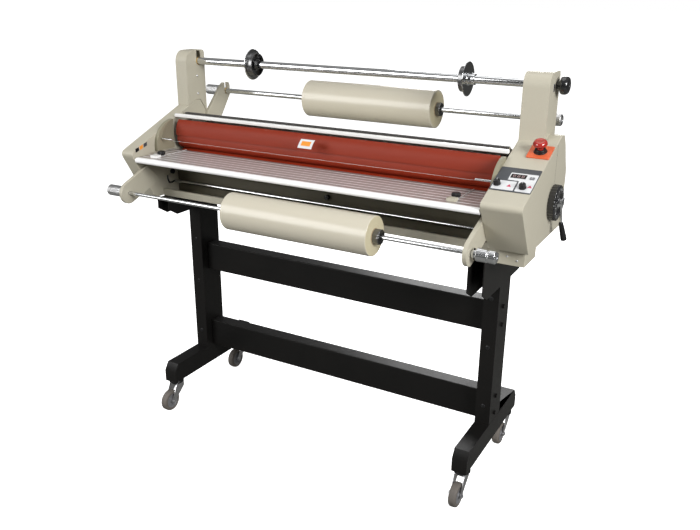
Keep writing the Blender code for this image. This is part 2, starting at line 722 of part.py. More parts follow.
def make_tension_knob(name, radius, finish, place):
    """A turned knob on the right-hand end of a film shaft, with a short cross pin through its hub."""
    start = ARM_FAR + GAP
    bore = radius - 0.001 + 0.0004
    profile = [
        (bore, 0.6522),
        (KNOB_RADIUS - 0.003, 0.6522),
        (KNOB_RADIUS, 0.6490),
        (KNOB_RADIUS, 0.6010),
        (KNOB_RADIUS - 0.001, 0.6000),
        (0.0115, 0.6000),
        (0.0115, start + 0.003),
        (bore + 0.002, start + 0.003),
        (bore + 0.002, start + 0.002),
        (bore, start + 0.002),
    ]
    return turned(name, profile, finish, place, ALONG_X, 16)


def make_roll(level, radius, near, far, shaft_radius, place, width):
    """A film roll on its cardboard core, and the chuck that grips the core at its right end."""
    core = 0.0195
    profile = [(core, far), (radius - 0.001, far), (radius, far - 0.001), (radius, near + 0.001)]
    profile += [(radius - 0.001, near), (core, near)]
    turned(f"film_roll_{level}", profile, "film", place, ALONG_X, 32)
    bore = shaft_radius + GAP
    hub = core - GAP
    end = far + width
    chuck = [(bore, end), (hub + 0.001, end), (hub + 0.002, end - 0.001), (hub + 0.002, far + GAP)]
    chuck += [(hub, far + GAP), (hub, near + 0.010), (bore, near + 0.010)]
    turned(f"core_chuck_{level}", chuck, "black_plastic", place, ALONG_X, 16)


def make_film():
    lower = (0.0, LOWER_Y, LOWER_Z)
    upper = (0.0, UPPER_Y, UPPER_Z)
    make_shaft("film_shaft_lower", LOWER_SHAFT, lower)
    make_shaft("film_shaft_upper", UPPER_SHAFT, upper)
    make_tension_knob("tension_knob_lower", LOWER_SHAFT, "chrome", lower)
    make_tension_knob("tension_knob_upper", UPPER_SHAFT, "steel", upper)
    make_roll("lower", 0.0560, -0.1693, 0.3109, LOWER_SHAFT, lower, 0.020)
    make_roll("upper", 0.0600, -0.2117, 0.2571, UPPER_SHAFT, upper, 0.016)


def make_rewind():
    """Rewind rod with a ribbed core disc at each end, and the friction knob outside the right post."""
    place = (0.0, REWIND_Y, REWIND_Z)
    pin = 0.0100
    out = POST_OUT[1]
    profile = [
        (0.0, out + 0.030),
        (0.0060, out + 0.030),
        (0.0060, out - 0.002),
        (pin, out - 0.002),
        (pin, INSIDE - 0.001),
        (REWIND_RADIUS, INSIDE - 0.001),
        (REWIND_RADIUS, 0.001 - INSIDE),
        (pin, 0.001 - INSIDE),
        (pin, -INSIDE - 0.018),
        (0.0, -INSIDE - 0.018),
    ]
    turned("rewind_rod", profile, "chrome", place, ALONG_X, 16)
    stem = out + GAP
    knob = [
        (0.0064, out + 0.034),
        (0.0100, out + 0.036),
        (0.0210, out + 0.033),
        (0.0250, out + 0.026),
        (0.0250, out + 0.016),
        (0.0220, out + 0.012),
        (0.0105, out + 0.011),
        (0.0105, stem),
        (0.0064, stem),
    ]
    turned("rewind_knob", knob, "black_plastic", place, ALONG_X, 20)
    for side, x in ((-1, -0.3520), (1, 0.4020)):
        make_disc(side, x)


def make_disc(side, x):
    """A thin flange with a collar outside, and inside a core ring that six ribs tie to the hub."""
    name = f"rewind_disc_{label(side)}"
    bore = REWIND_RADIUS + GAP
    profile = [
        (bore, 0.0240),
        (0.0160, 0.0240),
        (0.0160, 0.0030),
        (0.0500, 0.0030),
        (0.0500, 0.0),
        (0.0380, 0.0),
        (0.0370, -0.0170),
        (0.0340, -0.0170),
        (0.0340, 0.0),
        (0.0175, 0.0),
        (0.0175, -0.0170),
        (bore, -0.0170),
    ]
    turn = ALONG_X if side > 0 else (0.0, -math.pi / 2, 0.0)
    disc = turned(name, profile, "chrome", (x, REWIND_Y, REWIND_Z), turn, 24)
    hub = add_empty(f"{name}_hub", (x, REWIND_Y, REWIND_Z), UPRIGHT, ROOT)
    span = sorted((side * 0.0010, side * -0.0160))
    for number in range(6):
        angle = math.radians(30 + 60 * number)
        rib = box(f"{name}_rib{number}", (span[0], 0.0165, -0.0012), (span[1], 0.0350, 0.0012), None, (0, 0, 0))
        rib.parent = hub
        rib.rotation_euler = (angle, 0.0, 0.0)
        join(disc, rib)


def make_estop():
    """Emergency stop: a square plate with a collar, and the mushroom button."""
    x, along = 0.6633, 0.1992
    low = GAP
    plate_box = box(
        "estop_base", (x - 0.0310, along - 0.0305, low), (x + 0.0310, along + 0.0305, 0.0045), "orange", parent=PANEL
    )
    round_edges(plate_box, 0.001)
    collar = rod("estop_collar", 0.0150, (x, along, 0.0035), (x, along, 0.0140), steps=20, parent=PANEL)
    bore = rod("estop_bore", 0.0094, (x, along, 0.0020), (x, along, 0.0200), steps=20, parent=PANEL)
    join(plate_box, collar)
    cut(plate_box, bore)
    cap = [
        (0.0, 0.0390),
        (0.0120, 0.0380),
        (0.0170, 0.0350),
        (0.0195, 0.0300),
        (0.0195, 0.0270),
        (0.0150, 0.0225),
        (0.0140, 0.0200),
        (0.0090, 0.0200),
        (0.0090, 0.0090),
        (0.0, 0.0090),
    ]
    turned("estop_button", cap, "red", (x, along, 0.0), UPRIGHT, 20, PANEL)


def panel_knob(name, x, along):
    base = 0.0018
    profile = [(0.0, 0.0150), (0.0070, 0.0150), (0.0085, 0.0135), (0.0095, 0.0040), (0.0095, base), (0.0, base)]
    body = turned(name, profile, "black_plastic", (x, along, 0.0), UPRIGHT, 16, PANEL)
    ridge = box(f"{name}_ridge", (x - 0.0012, along + 0.001, 0.0140), (x + 0.0012, along + 0.0068, 0.0162), parent=PANEL)
    join(body, ridge)


def make_controls():
    low, high = GAP, 0.0015
    panel = box("control_panel", (0.5862, 0.0080, low), (0.6948, 0.1150, high), "overlay", parent=PANEL)
    window = box("panel_window", (0.6225, 0.0680, 0.0008), (0.6645, 0.0870, 0.0100), parent=PANEL)
    key = box("panel_key", (0.6735, 0.0680, -0.0200), (0.6865, 0.0790, 0.0100), parent=PANEL)
    cut(panel, window, key)
    base = 0.0008 + GAP
    box("display", (0.6230, 0.0685, base), (0.6640, 0.0865, 0.0023), "black_plastic", parent=PANEL)
    cut(bpy.data.objects["housing_right"], key)
    box("rocker_button", (0.6740, 0.0685, -0.0040), (0.6860, 0.0785, 0.0042), "black_plastic", parent=PANEL)
    panel_knob("temperature_knob", 0.6000, 0.0336)
    panel_knob("speed_knob", 0.6684, 0.0301)


def make_dial():
    """Pressure dial on the right housing, and the lever that turns on it."""
    place = (0.0, DIAL_Y, DIAL_Z)
    r = DIAL_RADIUS
    profile = [
        (0.0, DIAL_FAR - 0.003),
        (0.0300, DIAL_FAR - 0.003),
        (0.0310, DIAL_FAR),
        (r - 0.003, DIAL_FAR),
        (r, DIAL_FAR - 0.003),
        (r, DIAL_NEAR),
        (0.0, DIAL_NEAR),
    ]
    turned("pressure_dial", profile, "black_plastic", place, ALONG_X, 28)
    start = DIAL_FAR - 0.003 + GAP
    hub = [
        (0.0, start + 0.0140),
        (0.0080, start + 0.0140),
        (0.0100, start + 0.0120),
        (0.0120, start + 0.0040),
        (0.0120, start),
        (0.0, start),
    ]
    lever = turned("pressure_lever", hub, "zinc", place, ALONG_X, 16)
    top = Vector((start + 0.0080, DIAL_Y, DIAL_Z))
    knee = top + Vector((0.0030, 0.0040, -0.0560))
    tip = knee + Vector((0.0100, 0.0180, -0.0560))
    arm = rod("pressure_lever_arm", 0.0035, top, knee + (knee - top).normalized() * 0.002, steps=10)
    grip = rod("pressure_lever_grip", 0.0090, knee, tip, steps=14)
    lobes = []
    for number in range(3):
        angle = math.radians(30 + 120 * number)
        end = top + Vector((0.0, math.cos(angle), math.sin(angle))) * 0.026
        lobes.append(rod(f"pressure_lever_lobe{number}", 0.0042, top, end, steps=8))
    join(lever, arm, grip, *lobes)


def main():
    for side in (-1, 1):
        make_leg(side)
        for end in CASTER_YS:
            make_caster(side, end)
        make_housing(side)
        make_post(side)
        make_lower_arm(side)
        make_upper_arm(side)
    make_beams()
    make_front()
    make_rear()
    make_table()
    make_guide(-1, -0.5300, "white_plastic")
    make_guide(1, 0.4930, "beige")
    make_shield()
    make_rollers()
    make_yoke()
    make_drive()
    make_film()
    make_rewind()
    make_estop()
    make_controls()
    make_dial()
    bpy.context.view_layer.update()


main()
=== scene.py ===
# %% [markdown]
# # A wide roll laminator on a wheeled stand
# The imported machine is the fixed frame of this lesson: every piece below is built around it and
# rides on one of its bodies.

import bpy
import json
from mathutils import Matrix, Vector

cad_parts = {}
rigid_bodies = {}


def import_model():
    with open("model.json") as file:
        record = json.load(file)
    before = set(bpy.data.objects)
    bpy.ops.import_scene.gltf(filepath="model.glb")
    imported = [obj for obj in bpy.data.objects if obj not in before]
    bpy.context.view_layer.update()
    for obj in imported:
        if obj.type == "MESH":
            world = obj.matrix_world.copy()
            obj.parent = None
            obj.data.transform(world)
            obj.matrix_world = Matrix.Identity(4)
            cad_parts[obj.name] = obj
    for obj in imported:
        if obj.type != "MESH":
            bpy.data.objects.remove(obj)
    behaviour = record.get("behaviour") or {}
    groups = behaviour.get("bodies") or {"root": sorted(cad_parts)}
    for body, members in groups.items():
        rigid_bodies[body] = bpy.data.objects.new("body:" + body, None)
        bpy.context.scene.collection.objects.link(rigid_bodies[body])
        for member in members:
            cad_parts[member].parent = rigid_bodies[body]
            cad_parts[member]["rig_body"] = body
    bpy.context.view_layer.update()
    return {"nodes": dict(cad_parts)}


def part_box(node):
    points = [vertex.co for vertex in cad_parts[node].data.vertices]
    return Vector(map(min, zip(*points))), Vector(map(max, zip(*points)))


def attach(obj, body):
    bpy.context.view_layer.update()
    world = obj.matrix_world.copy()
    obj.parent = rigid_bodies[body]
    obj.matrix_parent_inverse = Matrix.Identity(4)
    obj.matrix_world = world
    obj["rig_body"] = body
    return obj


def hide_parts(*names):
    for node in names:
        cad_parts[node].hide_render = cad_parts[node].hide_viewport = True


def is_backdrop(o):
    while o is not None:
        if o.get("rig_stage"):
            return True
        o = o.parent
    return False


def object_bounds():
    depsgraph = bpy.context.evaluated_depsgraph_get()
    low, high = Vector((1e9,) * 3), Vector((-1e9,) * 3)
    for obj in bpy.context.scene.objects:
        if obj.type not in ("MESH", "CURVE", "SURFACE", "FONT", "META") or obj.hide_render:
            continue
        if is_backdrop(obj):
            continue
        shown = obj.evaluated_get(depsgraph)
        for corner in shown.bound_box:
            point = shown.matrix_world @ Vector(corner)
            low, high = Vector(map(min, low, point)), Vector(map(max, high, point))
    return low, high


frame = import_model()

# %% [markdown]
# The machine is easiest to describe from its own middle: X = 0 midway between the two legs, Y = 0
# at the middle of the columns, Z = 0 on the floor. That point is read off the stand's own nodes.
# The sloping tops of the housings get their own axes, because the panel and its knobs sit square
# to them.

# %% Where the machine's own middle is
import json
import math

import bmesh
import bpy
import numpy as np
from mathutils import Matrix

MIDDLE = np.array([
    (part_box("leg_left")[0].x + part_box("leg_right")[1].x) / 2,
    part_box("beam_upper")[0].y + 0.02,
    0.0,
])
MM = 0.001
ALONG = np.eye(3)
SLOPE_RISE = 0.4
TILT = math.atan(SLOPE_RISE)
SLOPE_UP = np.array([0.0, math.cos(TILT), math.sin(TILT)])
SLOPE_OUT = np.array([0.0, -math.sin(TILT), math.cos(TILT)])
SLOPE_FOOT = np.array([0, -247.3, 974.2])
# Two directions span an outline, and the third is the one it is turned about or drawn along.
AXES = {
    "x": (ALONG[1], ALONG[2], ALONG[0]),
    "z": (ALONG[0], ALONG[1], ALONG[2]),
    "front": (ALONG[0], ALONG[2], -ALONG[1]),
    "rear": (-ALONG[0], ALONG[2], ALONG[1]),
    "slope": (ALONG[0], SLOPE_UP, SLOPE_OUT),
}
SIDES = {"left": -1, "right": 1}
print("middle", MIDDLE.round(5))

# %% [markdown]
# ## Shapes from grids
# Nearly everything here was turned, extruded or bent, so four surfaces make it all: a grid of
# points, a profile turned about an axis, an outline drawn along a direction, and a round section
# carried along a path. Each is worked out as one array, in millimetres. Corners are rounded
# before the surface is made, as a moulding or a press brake would leave them.

# %% Grids, rounded corners and turned profiles
def grid(points, around=False):
    """Quads between neighbouring rows and columns of the points. With around, the last column
    joins the first."""
    rows, columns = points.shape[:2]
    number = np.arange(rows * columns).reshape(rows, columns)
    if around:
        number = np.hstack([number, number[:, :1]])
    corners = number[:-1, :-1], number[1:, :-1], number[1:, 1:], number[:-1, 1:]
    return points.reshape(-1, 3), np.stack(corners, -1).reshape(-1, 4).tolist()


def rounded(points, cuts, steps=4):
    """Every corner becomes a parabola: at share t it is (1-t)² times a, plus 2t(1-t) times the
    corner, plus t² times b, where a and b lie on the two edges, one cut away from the corner."""
    corner = np.array(points, float)
    back, ahead = np.roll(corner, 1, 0) - corner, np.roll(corner, -1, 0) - corner
    long_back = np.linalg.norm(back, axis=1, keepdims=True)
    long_ahead = np.linalg.norm(ahead, axis=1, keepdims=True)
    cut = np.broadcast_to(cuts, len(corner))[:, None]
    cut = np.minimum(cut, 0.48 * np.minimum(long_back, long_ahead))
    a = (corner + back / long_back * cut)[:, None]
    b = (corner + ahead / long_ahead * cut)[:, None]
    t = np.linspace(0, 1, steps + 1)[None, :, None]
    return ((1 - t) ** 2 * a + 2 * t * (1 - t) * corner[:, None] + t * t * b).reshape(-1, 2)


def arc(centre, radius, first, last, steps):
    """Centre plus radius times (cosine, sine) of evenly spread angles, in degrees."""
    angle = np.radians(np.linspace(first, last, steps + 1))
    return np.stack([centre[0] + radius * np.cos(angle), centre[1] + radius * np.sin(angle)], 1)


def turned(profile, place, axis="x", steps=64, cut=0.8, flutes=0, depth=0.0):
    """A profile of (radius, height) turned about an axis: place + radius times (cosine, sine) of
    the angle + height. Flutes press the rim in by depth times a squared sine of the angle."""
    profile = np.array(profile, float)
    open_ends = profile[:, 0].min() < 1e-9
    cuts = np.full(len(profile), cut)
    if open_ends:
        cuts[[0, -1]] = 0.0
    line = rounded(profile, cuts, 3)
    if not open_ends:
        line = np.vstack([line, line[:1]])
    radius, height = line[:, :1], line[:, 1:]
    angle = np.linspace(0, 2 * np.pi, steps, endpoint=False)[None]
    if flutes:
        rim = np.clip((radius - 0.8 * radius.max()) / (0.1 * radius.max()), 0, 1)
        radius = radius - depth * rim * np.sin(angle * flutes / 2) ** 2
    u, v, w = AXES[axis]
    across = (radius * np.cos(angle))[..., None] * u + (radius * np.sin(angle))[..., None] * v
    return grid(np.array(place) + across + height[..., None] * w, around=True)


# %% Outlines drawn along a direction, and tubes along a path
def mirrored(half):
    """A profile followed by its own reflection in height 0."""
    return half + [(radius, -height) for radius, height in reversed(half)]


def cylinder(radius, near, far, place, steps=48, axis="x", cut=0.8):
    """A solid cylinder between two heights on an axis, with its rims eased by the cut."""
    return turned([(0, far), (radius, far), (radius, near), (0, near)], place, axis, steps, cut)


def drawn(outline, near, far, axis="x", place=(0.0, 0.0, 0.0)):
    """A closed outline at height near and again at height far, with walls between them and a flat
    face on each end."""
    outline = np.array(outline, float)
    u, v, w = AXES[axis]
    flat = np.array(place) + outline[:, :1] * u + outline[:, 1:] * v
    points, walls = grid(np.stack([flat + near * w, flat + far * w]), around=True)
    count = len(outline)
    return points, walls + [list(range(count)), list(range(count, 2 * count))]


def block(low, high, axis="z", place=(0.0, 0.0, 0.0), cut=0.0):
    """A box between two corners, given along the three directions of its axes."""
    outline = [(low[0], low[1]), (high[0], low[1]), (high[0], high[1]), (low[0], high[1])]
    outline = rounded(outline, cut) if cut else outline
    return drawn(outline, low[2], high[2], axis, place)


def tube(path, radii, steps=24):
    """A circle of the given radius round every point of a path, square to the path there, with
    its two ends drawn in to a point."""
    path = np.array(path, float)
    radii = np.broadcast_to(radii, len(path))
    run = np.gradient(path, axis=0)
    run /= np.linalg.norm(run, axis=1, keepdims=True)
    side = np.cross(run, (0.9, 0.3, 0.1))
    side /= np.linalg.norm(side, axis=1, keepdims=True)
    up = np.cross(run, side)
    ends = [0, *range(len(path)), len(path) - 1]
    path, side, up = path[ends], side[ends], up[ends]
    radii = np.concatenate([[0.0], radii, [0.0]])[:, None, None]
    angle = np.linspace(0, 2 * np.pi, steps, endpoint=False)[None, :, None]
    ring = np.cos(angle) * side[:, None] + np.sin(angle) * up[:, None]
    return grid(path[:, None] + radii * ring, around=True)


def between(start, end, steps=8):
    """Points spread evenly on the straight line from start to end."""
    share = np.linspace(0, 1, steps + 1)[:, None]
    return np.array(start) * (1 - share) + np.array(end) * share


# %% [markdown]
# A finished piece is one mesh at the origin. Its shells are joined, doubled points are merged so
# that seams and poles close, and the faces are turned outwards. A pressed or moulded piece gets a
# narrow bevel, since a real edge always catches a line of light. Weighted normals keep the wide
# faces flat beside those narrow ones.

# %% Make a piece, or soften a copy of a boxy CAD node
def tidy_mesh(mesh, flatten=False):
    work = bmesh.new()
    work.from_mesh(mesh)
    bmesh.ops.remove_doubles(work, verts=work.verts, dist=1e-6)
    if flatten:
        bmesh.ops.dissolve_limit(
            work, angle_limit=math.radians(0.6), verts=work.verts, edges=work.edges
        )
    bmesh.ops.recalc_face_normals(work, faces=work.faces)
    work.to_mesh(mesh)
    work.free()


def finish_piece(name, mesh, finish, body="frame", replaces="", bevel=0.0, slot="", sharp=38):
    """Gives a mesh its finish, edges and body. The slot is not used. Bevels are in millimetres."""
    mesh.materials.clear()
    mesh.materials.append(finish)
    mesh.shade_smooth()
    made = bpy.data.objects.new(name, mesh)
    bpy.context.scene.collection.objects.link(made)
    if bevel:
        edge = made.modifiers.new("edge", "BEVEL")
        edge.width, edge.segments = bevel * MM, 2
        edge.limit_method, edge.angle_limit = "ANGLE", math.radians(sharp)
    else:
        mesh.set_sharp_from_angle(angle=math.radians(sharp))
    even = made.modifiers.new("normals", "WEIGHTED_NORMAL")
    even.keep_sharp = not bevel
    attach(made, body)
    if replaces:
        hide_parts(replaces)


def piece(name, shells, finish, *rest, **more):
    """One named piece from one or more shells, in millimetres from the machine's middle."""
    shells = [shells] if isinstance(shells, tuple) else shells
    starts = np.cumsum([0] + [len(points) for points, _ in shells])
    points = np.vstack([points for points, _ in shells]) * MM + MIDDLE
    faces = [
        [start + corner for corner in face]
        for start, (_, some) in zip(starts.tolist(), shells)
        for face in some
    ]
    mesh = bpy.data.meshes.new(name)
    mesh.from_pydata(points, [], faces)
    tidy_mesh(mesh)
    finish_piece(name, mesh, finish, *rest, **more)


def softened(node, finish, bevel=0.8):
    """A merged copy of a CAD node with its flat faces whole again and its edges eased."""
    mesh = frame["nodes"][node].data.copy()
    tidy_mesh(mesh, flatten=True)
    body = frame["nodes"][node]["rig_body"]
    finish_piece(f"{node}_finished", mesh, finish, body, node, bevel)


# %% [markdown]
# ## Finishes
# Shader maths reads as plain arithmetic here: a Value wraps a socket, and an expression on values
# adds the Math nodes. Every other node comes from one method. A finish starts from constants on
# its own sockets, and only what changes over the surface is linked: colour, roughness and bump.

# %% Values and finishes
def maths(operation):
    """A method that adds one Math node, which works on a value and one other operand."""
    settings = {"operation": operation}
    return lambda self, other: self.owner.node("Math", settings, {0: self, 1: other})


class Value:
    """A number that a shader works out at each point."""

    def __init__(self, owner, socket):
        self.owner, self.socket = owner, socket

    __add__, __sub__, __mul__ = maths("ADD"), maths("SUBTRACT"), maths("MULTIPLY")
    __pow__, __gt__, __lt__ = maths("POWER"), maths("GREATER_THAN"), maths("LESS_THAN")
    or_more = maths("MAXIMUM")

    def sine(self):
        return self.owner.node("Math", {"operation": "SINE"}, {0: self})


class Finish:
    """A material that starts from constants and is then varied over the surface."""

    def __init__(self, name, colour, roughness, metallic=0.0, coat=0.0, gloss=0.5):
        self.material = bpy.data.materials.new(name)
        self.material.use_nodes = True
        self.nodes = self.material.node_tree.nodes
        self.links = self.material.node_tree.links
        self.shader = self.nodes["Principled BSDF"]
        self.colour, self.roughness = (*colour, 1.0), roughness
        self.let({"Base Color": self.colour, "Roughness": roughness, "Metallic": metallic})
        self.let({"Coat Weight": coat, "Specular IOR Level": gloss})

    def fill(self, node, inputs):
        for key, value in inputs.items():
            if isinstance(value, Value):
                self.links.new(value.socket, node.inputs[key])
            else:
                node.inputs[key].default_value = value

    def let(self, inputs):
        self.fill(self.shader, inputs)

    def node(self, kind, settings=None, inputs=None, out=0):
        """Adds one node: its settings first, then the values or links of its sockets."""
        made = self.nodes.new("ShaderNode" + kind)
        for key, value in (settings or {}).items():
            setattr(made, key, value)
        self.fill(made, inputs or {})
        return Value(self, made.outputs[out])

    def place(self):
        return self.node("TexCoord", out="Object")

    def noise(self, scale, stretch=(1.0, 1.0, 1.0), detail=3.0):
        """Noise on the object's own coordinates, stretched by one factor for each direction."""
        at = self.node("Mapping", {}, {"Vector": self.place(), "Scale": stretch})
        return self.node("TexNoise", {}, {"Vector": at, "Scale": scale, "Detail": detail})

    def shares(self):
        """The three object coordinates of a point, measured from the machine's middle."""
        at = self.node("VectorMath", {"operation": "SUBTRACT"}, {0: self.place(), 1: tuple(MIDDLE)})
        return [self.node("SeparateXYZ", {}, {0: at}, out=number) for number in range(3)]

    def blend(self, share, first, second):
        """A colour that goes from first to second as share goes from 0 to 1."""
        ends = [end if isinstance(end, Value) else (*end[:3], 1.0) for end in (first, second)]
        return self.node("Mix", {"data_type": "RGBA"}, {0: share, 6: ends[0], 7: ends[1]}, out=2)

    def vary(self, share, colour=None, rough=0.0):
        """Colour moves towards another and roughness by up to rough, as share goes from 0 to 1."""
        if colour is not None:
            self.let({"Base Color": self.blend(share, self.colour, colour)})
        if rough:
            self.let({"Roughness": share * rough + (self.roughness - rough / 2)})
        return self

    def bump(self, height, strength, distance=0.0005):
        inputs = {"Height": height, "Strength": strength, "Distance": distance}
        self.let({"Normal": self.node("Bump", {}, inputs)})
        return self


# %% [markdown]
# The sheet metal is powder coated: a fine orange peel about a millimetre across, slightly uneven
# gloss, and a hint of warmer and cooler patches. Fine noise drives the bump and a much larger
# noise the tone. The stand has the same coat in black.

# %% Powder coats
def powder(name, colour, patch, roughness, peel=0.25, gloss=0.4):
    made = Finish(name, colour, roughness, gloss=gloss)
    made.vary(made.noise(7.0, detail=5.0), patch, 0.14)
    return made.bump(made.noise(900.0, detail=2.0), peel, 0.0002).material


GREIGE = (0.505, 0.475, 0.385)
beige_powder = powder("beige_powder_coat", GREIGE, (0.465, 0.435, 0.345), 0.42)
# The same beige coat made darker for the shield brackets on the inner walls: painted shade.
shaded_beige_powder = powder("shaded_powder_coat", (0.3, 0.28, 0.2), (0.25, 0.23, 0.16), 0.5)
BLACK, WORN_BLACK = (0.006, 0.006, 0.006), (0.01, 0.009, 0.008)
black_powder = powder("black_powder_coat", BLACK, WORN_BLACK, 0.4, 0.4, 0.2)

# %% [markdown]
# Metals differ by how they were worked. Chromed rods are nearly mirrors with faint turning lines
# round them, turned steel shows the lines more, zinc plate is mottled, and the aluminium table
# was brushed lengthwise. White lines on its grooves and along the front of its nose are painted
# highlights.

# %% Metals
def turned_metal(name, colour, roughness, lines=0.12):
    made = Finish(name, colour, roughness, 1.0)
    marks = made.noise(40.0, (40.0, 1.0, 1.0), 4.0)
    return made.vary(marks, tuple(0.88 * c for c in colour), lines).bump(marks, 0.05).material


chrome = turned_metal("chromed_rod", (0.74, 0.75, 0.76), 0.1, 0.08)
turned_steel = turned_metal("turned_steel", (0.66, 0.66, 0.66), 0.3, 0.2)
dark_steel = turned_metal("blackened_steel", (0.1, 0.1, 0.1), 0.34, 0.15)
chuck_steel = turned_metal("chuck_steel", (0.22, 0.22, 0.22), 0.3, 0.15)
brass = turned_metal("brass_bush", (0.72, 0.5, 0.2), 0.3)

zinc_finish = Finish("zinc_plate", (0.76, 0.76, 0.77), 0.32, 1.0)
mottle = zinc_finish.noise(55.0, detail=6.0)
zinc = zinc_finish.vary(mottle, (0.55, 0.55, 0.57), 0.3).bump(mottle, 0.15).material

TABLE_TOP, GROOVE_FIRST, GROOVE_STEP = 936, -126, 25.5
table_finish = Finish("brushed_aluminium", (0.6, 0.565, 0.555), 0.36, 0.7)
brushing = table_finish.noise(60.0, (0.25, 30.0, 30.0), 5.0)
_, depth_in, _ = table_finish.shares()
beat = (depth_in - GROOVE_FIRST * MM) * (math.pi / (GROOVE_STEP * MM))
beat = beat.sine()
# Painted highlights: white lines on the groove edges and along the front of the nose.
painted_highlight_lines = (beat * beat < 0.06) * (depth_in > -0.262) * (depth_in < -0.122)
painted_highlight_lines = painted_highlight_lines.or_more(depth_in < -0.2745)
# The warm pinkish tone of the satin is partly painted reflection of the red roller.
satin_with_painted_reflection = table_finish.blend(brushing, (0.5, 0.455, 0.435), (0.44, 0.395, 0.38))
table_finish.let({"Base Color": table_finish.blend(painted_highlight_lines, satin_with_painted_reflection, (0.97, 0.97, 0.97))})
table_finish.let({"Roughness": brushing * 0.16 + 0.28, "Metallic": painted_highlight_lines * -0.6 + 0.6})
brushed_aluminium = table_finish.bump(brushing, 0.06, 0.0002).material

# %% [markdown]
# The heated rollers are sleeved in red-brown silicone with a soft sheen, the pull rollers in dark
# rubber, and the wheels have a worn grey tread. Moulded plastics have a faint grain, and the
# glossy ones a clear skin.

# %% Rubber, plastics and labels
def rubber(name, colour, other, roughness, grain=0.15, gloss=0.5):
    made = Finish(name, colour, roughness, gloss=gloss)
    cloud = made.noise(9.0, (0.3, 3.0, 3.0), 3.0)
    return made.vary(cloud, other, 0.08).bump(made.noise(600.0), grain, 0.0002).material


silicone = rubber("silicone_sleeve", (0.34, 0.036, 0.013), (0.31, 0.032, 0.011), 0.5, 0.03, 0.25)
roller_rubber = rubber("pull_roller_rubber", (0.035, 0.033, 0.032), (0.06, 0.055, 0.05), 0.6)
tread = rubber("wheel_tread", (0.19, 0.165, 0.145), (0.11, 0.1, 0.09), 0.65)


def plastic(name, colour, roughness, grain=0.1, coat=0.0, gloss=0.5):
    made = Finish(name, colour, roughness, coat=coat, gloss=gloss)
    tone = tuple(0.82 * c + 0.01 for c in colour)
    made.vary(made.noise(18.0, detail=4.0), tone, 0.1)
    return made.bump(made.noise(1400.0, detail=1.0), grain, 0.0001).material


black_plastic = plastic("black_moulding", (0.009, 0.009, 0.01), 0.34, gloss=0.3)
gloss_black = plastic("gloss_black_moulding", (0.01, 0.01, 0.011), 0.12, 0.02, coat=0.6)
white_plastic = plastic("white_moulding", (0.92, 0.92, 0.9), 0.3, 0.05)
orange_plastic = plastic("orange_moulding", (0.78, 0.14, 0.045), 0.38, 0.05)
red_gloss = plastic("red_gloss_moulding", (0.42, 0.022, 0.014), 0.16, 0.02, coat=0.5)
grey_plastic = plastic("grey_moulding", (0.2, 0.2, 0.21), 0.4)
overlay_slate = plastic("slate_overlay", (0.055, 0.06, 0.068), 0.36, 0.3)
label_white = plastic("white_label", (0.78, 0.79, 0.8), 0.34, 0.02)
label_red = plastic("red_mark", (0.6, 0.03, 0.1), 0.35, 0.02)
label_orange = plastic("orange_mark", (0.9, 0.33, 0.04), 0.35, 0.02)
board_green = plastic("circuit_board", (0.02, 0.12, 0.04), 0.45)
card = plastic("card_core", (0.42, 0.32, 0.2), 0.7, 0.4)
window_black = plastic("display_window", (0.016, 0.01, 0.01), 0.08, 0.0, coat=1.0)
segment_lit = Finish("display_segment", (0.3, 0.22, 0.22), 0.4)
segment_lit.let({"Emission Strength": 0.1})
glow = segment_lit.noise(120.0)
segment_lit.let({"Emission Color": segment_lit.blend(glow, (0.9, 0.25, 0.2), (0.6, 0.15, 0.12))})
segment = segment_lit.material

# %% [markdown]
# The film is thin plastic wound on a card core. Round the roll it shows pearly cream with faint
# bands where the winding tension changed, and its end shows hundreds of turns as fine rings. The
# rings follow the distance from the roll's own axis. The shield is a clear acrylic sheet.

# %% Wound film and clear acrylic
def wound_film(name, y, z):
    made = Finish(name, (0.6, 0.56, 0.46), 0.26, coat=0.12)
    across, depth_in, height = made.shares()
    reach = ((depth_in - y) * (depth_in - y) + (height - z) * (height - z)) ** 0.5
    line = made.node("CombineXYZ", {}, {0: reach, 1: across * 0.06, 2: 0.3})
    rings = made.node("TexNoise", {}, {"Vector": line, "Scale": 900.0, "Detail": 3.0})
    bands = made.noise(9.0, (2.0, 0.2, 0.2), 2.0)
    end_face = (reach < 0.0545) * (reach > 0.0)
    base = made.blend(bands, (0.61, 0.57, 0.465), (0.6, 0.555, 0.445))
    ringed = made.blend(rings, (0.72, 0.66, 0.47), (0.5, 0.44, 0.28))
    made.let({"Base Color": made.blend(end_face, base, ringed), "Roughness": bands * 0.01 + 0.3})
    return made.bump(rings * end_face, 0.2, 0.0003).material


film_lower = wound_film("wound_film_lower", -0.334, 0.832)
film_upper = wound_film("wound_film_upper", 0.185, 1.1)

acrylic_finish = Finish("clear_acrylic", (0.03, 0.025, 0.02), 0.3, gloss=0.15)
acrylic_finish.let({"Alpha": acrylic_finish.noise(3.0) * 0.03 + 0.06})
acrylic = acrylic_finish.material
# An opaque white finish for polished edges: a painted highlight where an edge catches the light.
edge_highlight_finish = Finish("painted_highlight_edge_strip", (0.8, 0.81, 0.8), 0.2)
white_edge_highlight = edge_highlight_finish.vary(edge_highlight_finish.noise(25.0), (0.68, 0.69, 0.68), 0.1).material

print("finishes", len(bpy.data.materials))

# %% [markdown]
# ## The stand
# Two columns with long feet, a channel head on each and two cross beams bolted between them, all of
# steel tube. The CAD's tubes are right, so each gets a merged copy with eased edges.

# %% Legs and beams
for name in ("leg_left", "leg_right", "beam_upper", "beam_lower"):
    softened(name, black_powder, 1.6 if "leg" in name else 0.4)


def screw_head(place, axis, radius=4, rise=1.8):
    """A low domed head with a round recess in its middle, turned about the screw's axis."""
    dome = [(0, rise * 0.2), (radius * 0.3, rise * 0.2), (radius * 0.34, rise)]
    dome += [(radius * 0.7, rise * 0.86), (radius, rise * 0.25), (radius, -0.4), (0, -0.4)]
    return turned(dome, place, axis, 20, 0.3)


